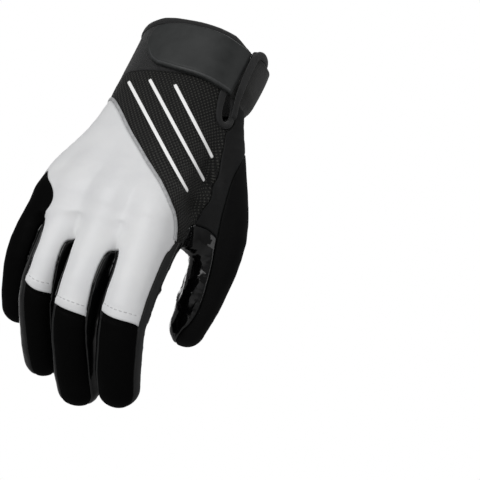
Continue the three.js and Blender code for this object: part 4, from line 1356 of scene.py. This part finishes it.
thumb_row = [(x, z) for x, z in THUMB_SEAM[1:-1]]
left = surface_row([(x - 1.6, z) for x, z in thumb_row], "y", 90)
right = surface_row([(x + 1.9, z) for x, z in thumb_row], "y", 90)
stitches("palm_stitches", [(left, "palm_panel", 0.05), (right, "thumb_palm", 0.05)], "thread_black", "patent")
stitches("rim_stitches", [(rim_row[3:-3], None, 0.1)], "thread_black", "binding", 2.3, 1.7, 0.24)
lab = [cuff_point(np.radians(np.full(30, 90.0)), np.linspace(-8.5, -35, 30), 3.6) for _ in (0, 1)]
for q, x in zip(lab, (0.1, 14.7)):
    q[:, 0] = x
stitches("label_stitches", [(q, "wrist_label_woven", 0.05) for q in lab], "thread_black", "label", 2.2, 1.5, 0.22)

# ------------------------------------------------------------------ camera, light, floor
AZ, EL, ROLL = math.radians(27.494), math.radians(-28.324), math.radians(22.494)
right0 = np.array([math.cos(AZ), math.sin(AZ), 0])
back0 = np.array([math.sin(AZ) * math.cos(EL), -math.cos(AZ) * math.cos(EL), math.sin(EL)])
up0 = np.cross(right0, -back0)
CR = math.cos(ROLL) * right0 + math.sin(ROLL) * up0
CU = -math.sin(ROLL) * right0 + math.cos(ROLL) * up0
CAM = np.array([0.3606, -0.5575, -0.4694])

cam_data = bpy.data.cameras.new("camera")
cam_data.sensor_width = 36
cam_data.lens = 1363.64 / 480 * 36
cam_data.clip_start = 0.02
cam_data.clip_end = 20
cam = bpy.data.objects.new("camera", cam_data)
cam.matrix_world = Matrix([[CR[i], CU[i], back0[i], CAM[i]] for i in range(3)] + [[0, 0, 0, 1]])
bpy.context.scene.collection.objects.link(cam)
bpy.context.scene.camera = cam

world = bpy.data.worlds.new("studio")
bpy.context.scene.world = world
world.use_nodes = True
wt = world.node_tree
bg = wt.nodes["Background"]
bg.inputs["Color"].default_value = (1, 1, 1, 1)
bg.inputs["Strength"].default_value = 0.22
white = wt.nodes.new("ShaderNodeBackground")
white.inputs["Color"].default_value = (1, 1, 1, 1)
white.inputs["Strength"].default_value = 1.0
path = wt.nodes.new("ShaderNodeLightPath")
mixw = wt.nodes.new("ShaderNodeMixShader")
wt.links.new(path.outputs["Is Camera Ray"], mixw.inputs["Fac"])
wt.links.new(bg.outputs[0], mixw.inputs[1])
wt.links.new(white.outputs[0], mixw.inputs[2])
wt.links.new(mixw.outputs[0], wt.nodes["World Output"].inputs["Surface"])

TARGET = np.array([-0.005, 0.0, -0.11])


def softbox(name, r, u, b, dist, size, power, size_y=None):
    """An area light placed by the camera's right, up and back directions."""
    d = unit(CR * r + CU * u + back0 * b)
    data = bpy.data.lights.new(name, "AREA")
    data.energy = power
    data.shape = "RECTANGLE"
    data.size = size
    data.size_y = size_y or size
    obj = bpy.data.objects.new(name, data)
    z = d
    x = unit(np.cross([0, 0, 1], z))
    y = np.cross(z, x)
    pos = TARGET + d * dist
    obj.matrix_world = Matrix([[x[i], y[i], z[i], pos[i]] for i in range(3)] + [[0, 0, 0, 1]])
    bpy.context.scene.collection.objects.link(obj)


softbox("key", -0.55, 0.85, 0.9, 1.1, 0.7, 6.0)
softbox("fill", 0.95, 0.15, 0.75, 1.2, 0.4, 2.0, 0.9)
softbox("rim", 0.5, 0.9, -0.5, 1.2, 0.6, 2.5)
softbox("palm", -0.3, 0.1, -1.0, 1.2, 0.5, 1.3, 0.8)

mesh = bpy.data.meshes.new("floor")
mesh.from_pydata([(-4, -4, -0.66), (4, -4, -0.66), (4, 4, -0.66), (-4, 4, -0.66)], [], [(0, 1, 2, 3)])
mesh.materials.append(MATERIALS["floor"])
floor = bpy.data.objects.new("floor", mesh)
bpy.context.scene.collection.objects.link(floor)
bpy.context.scene.view_settings.view_transform = "Standard"
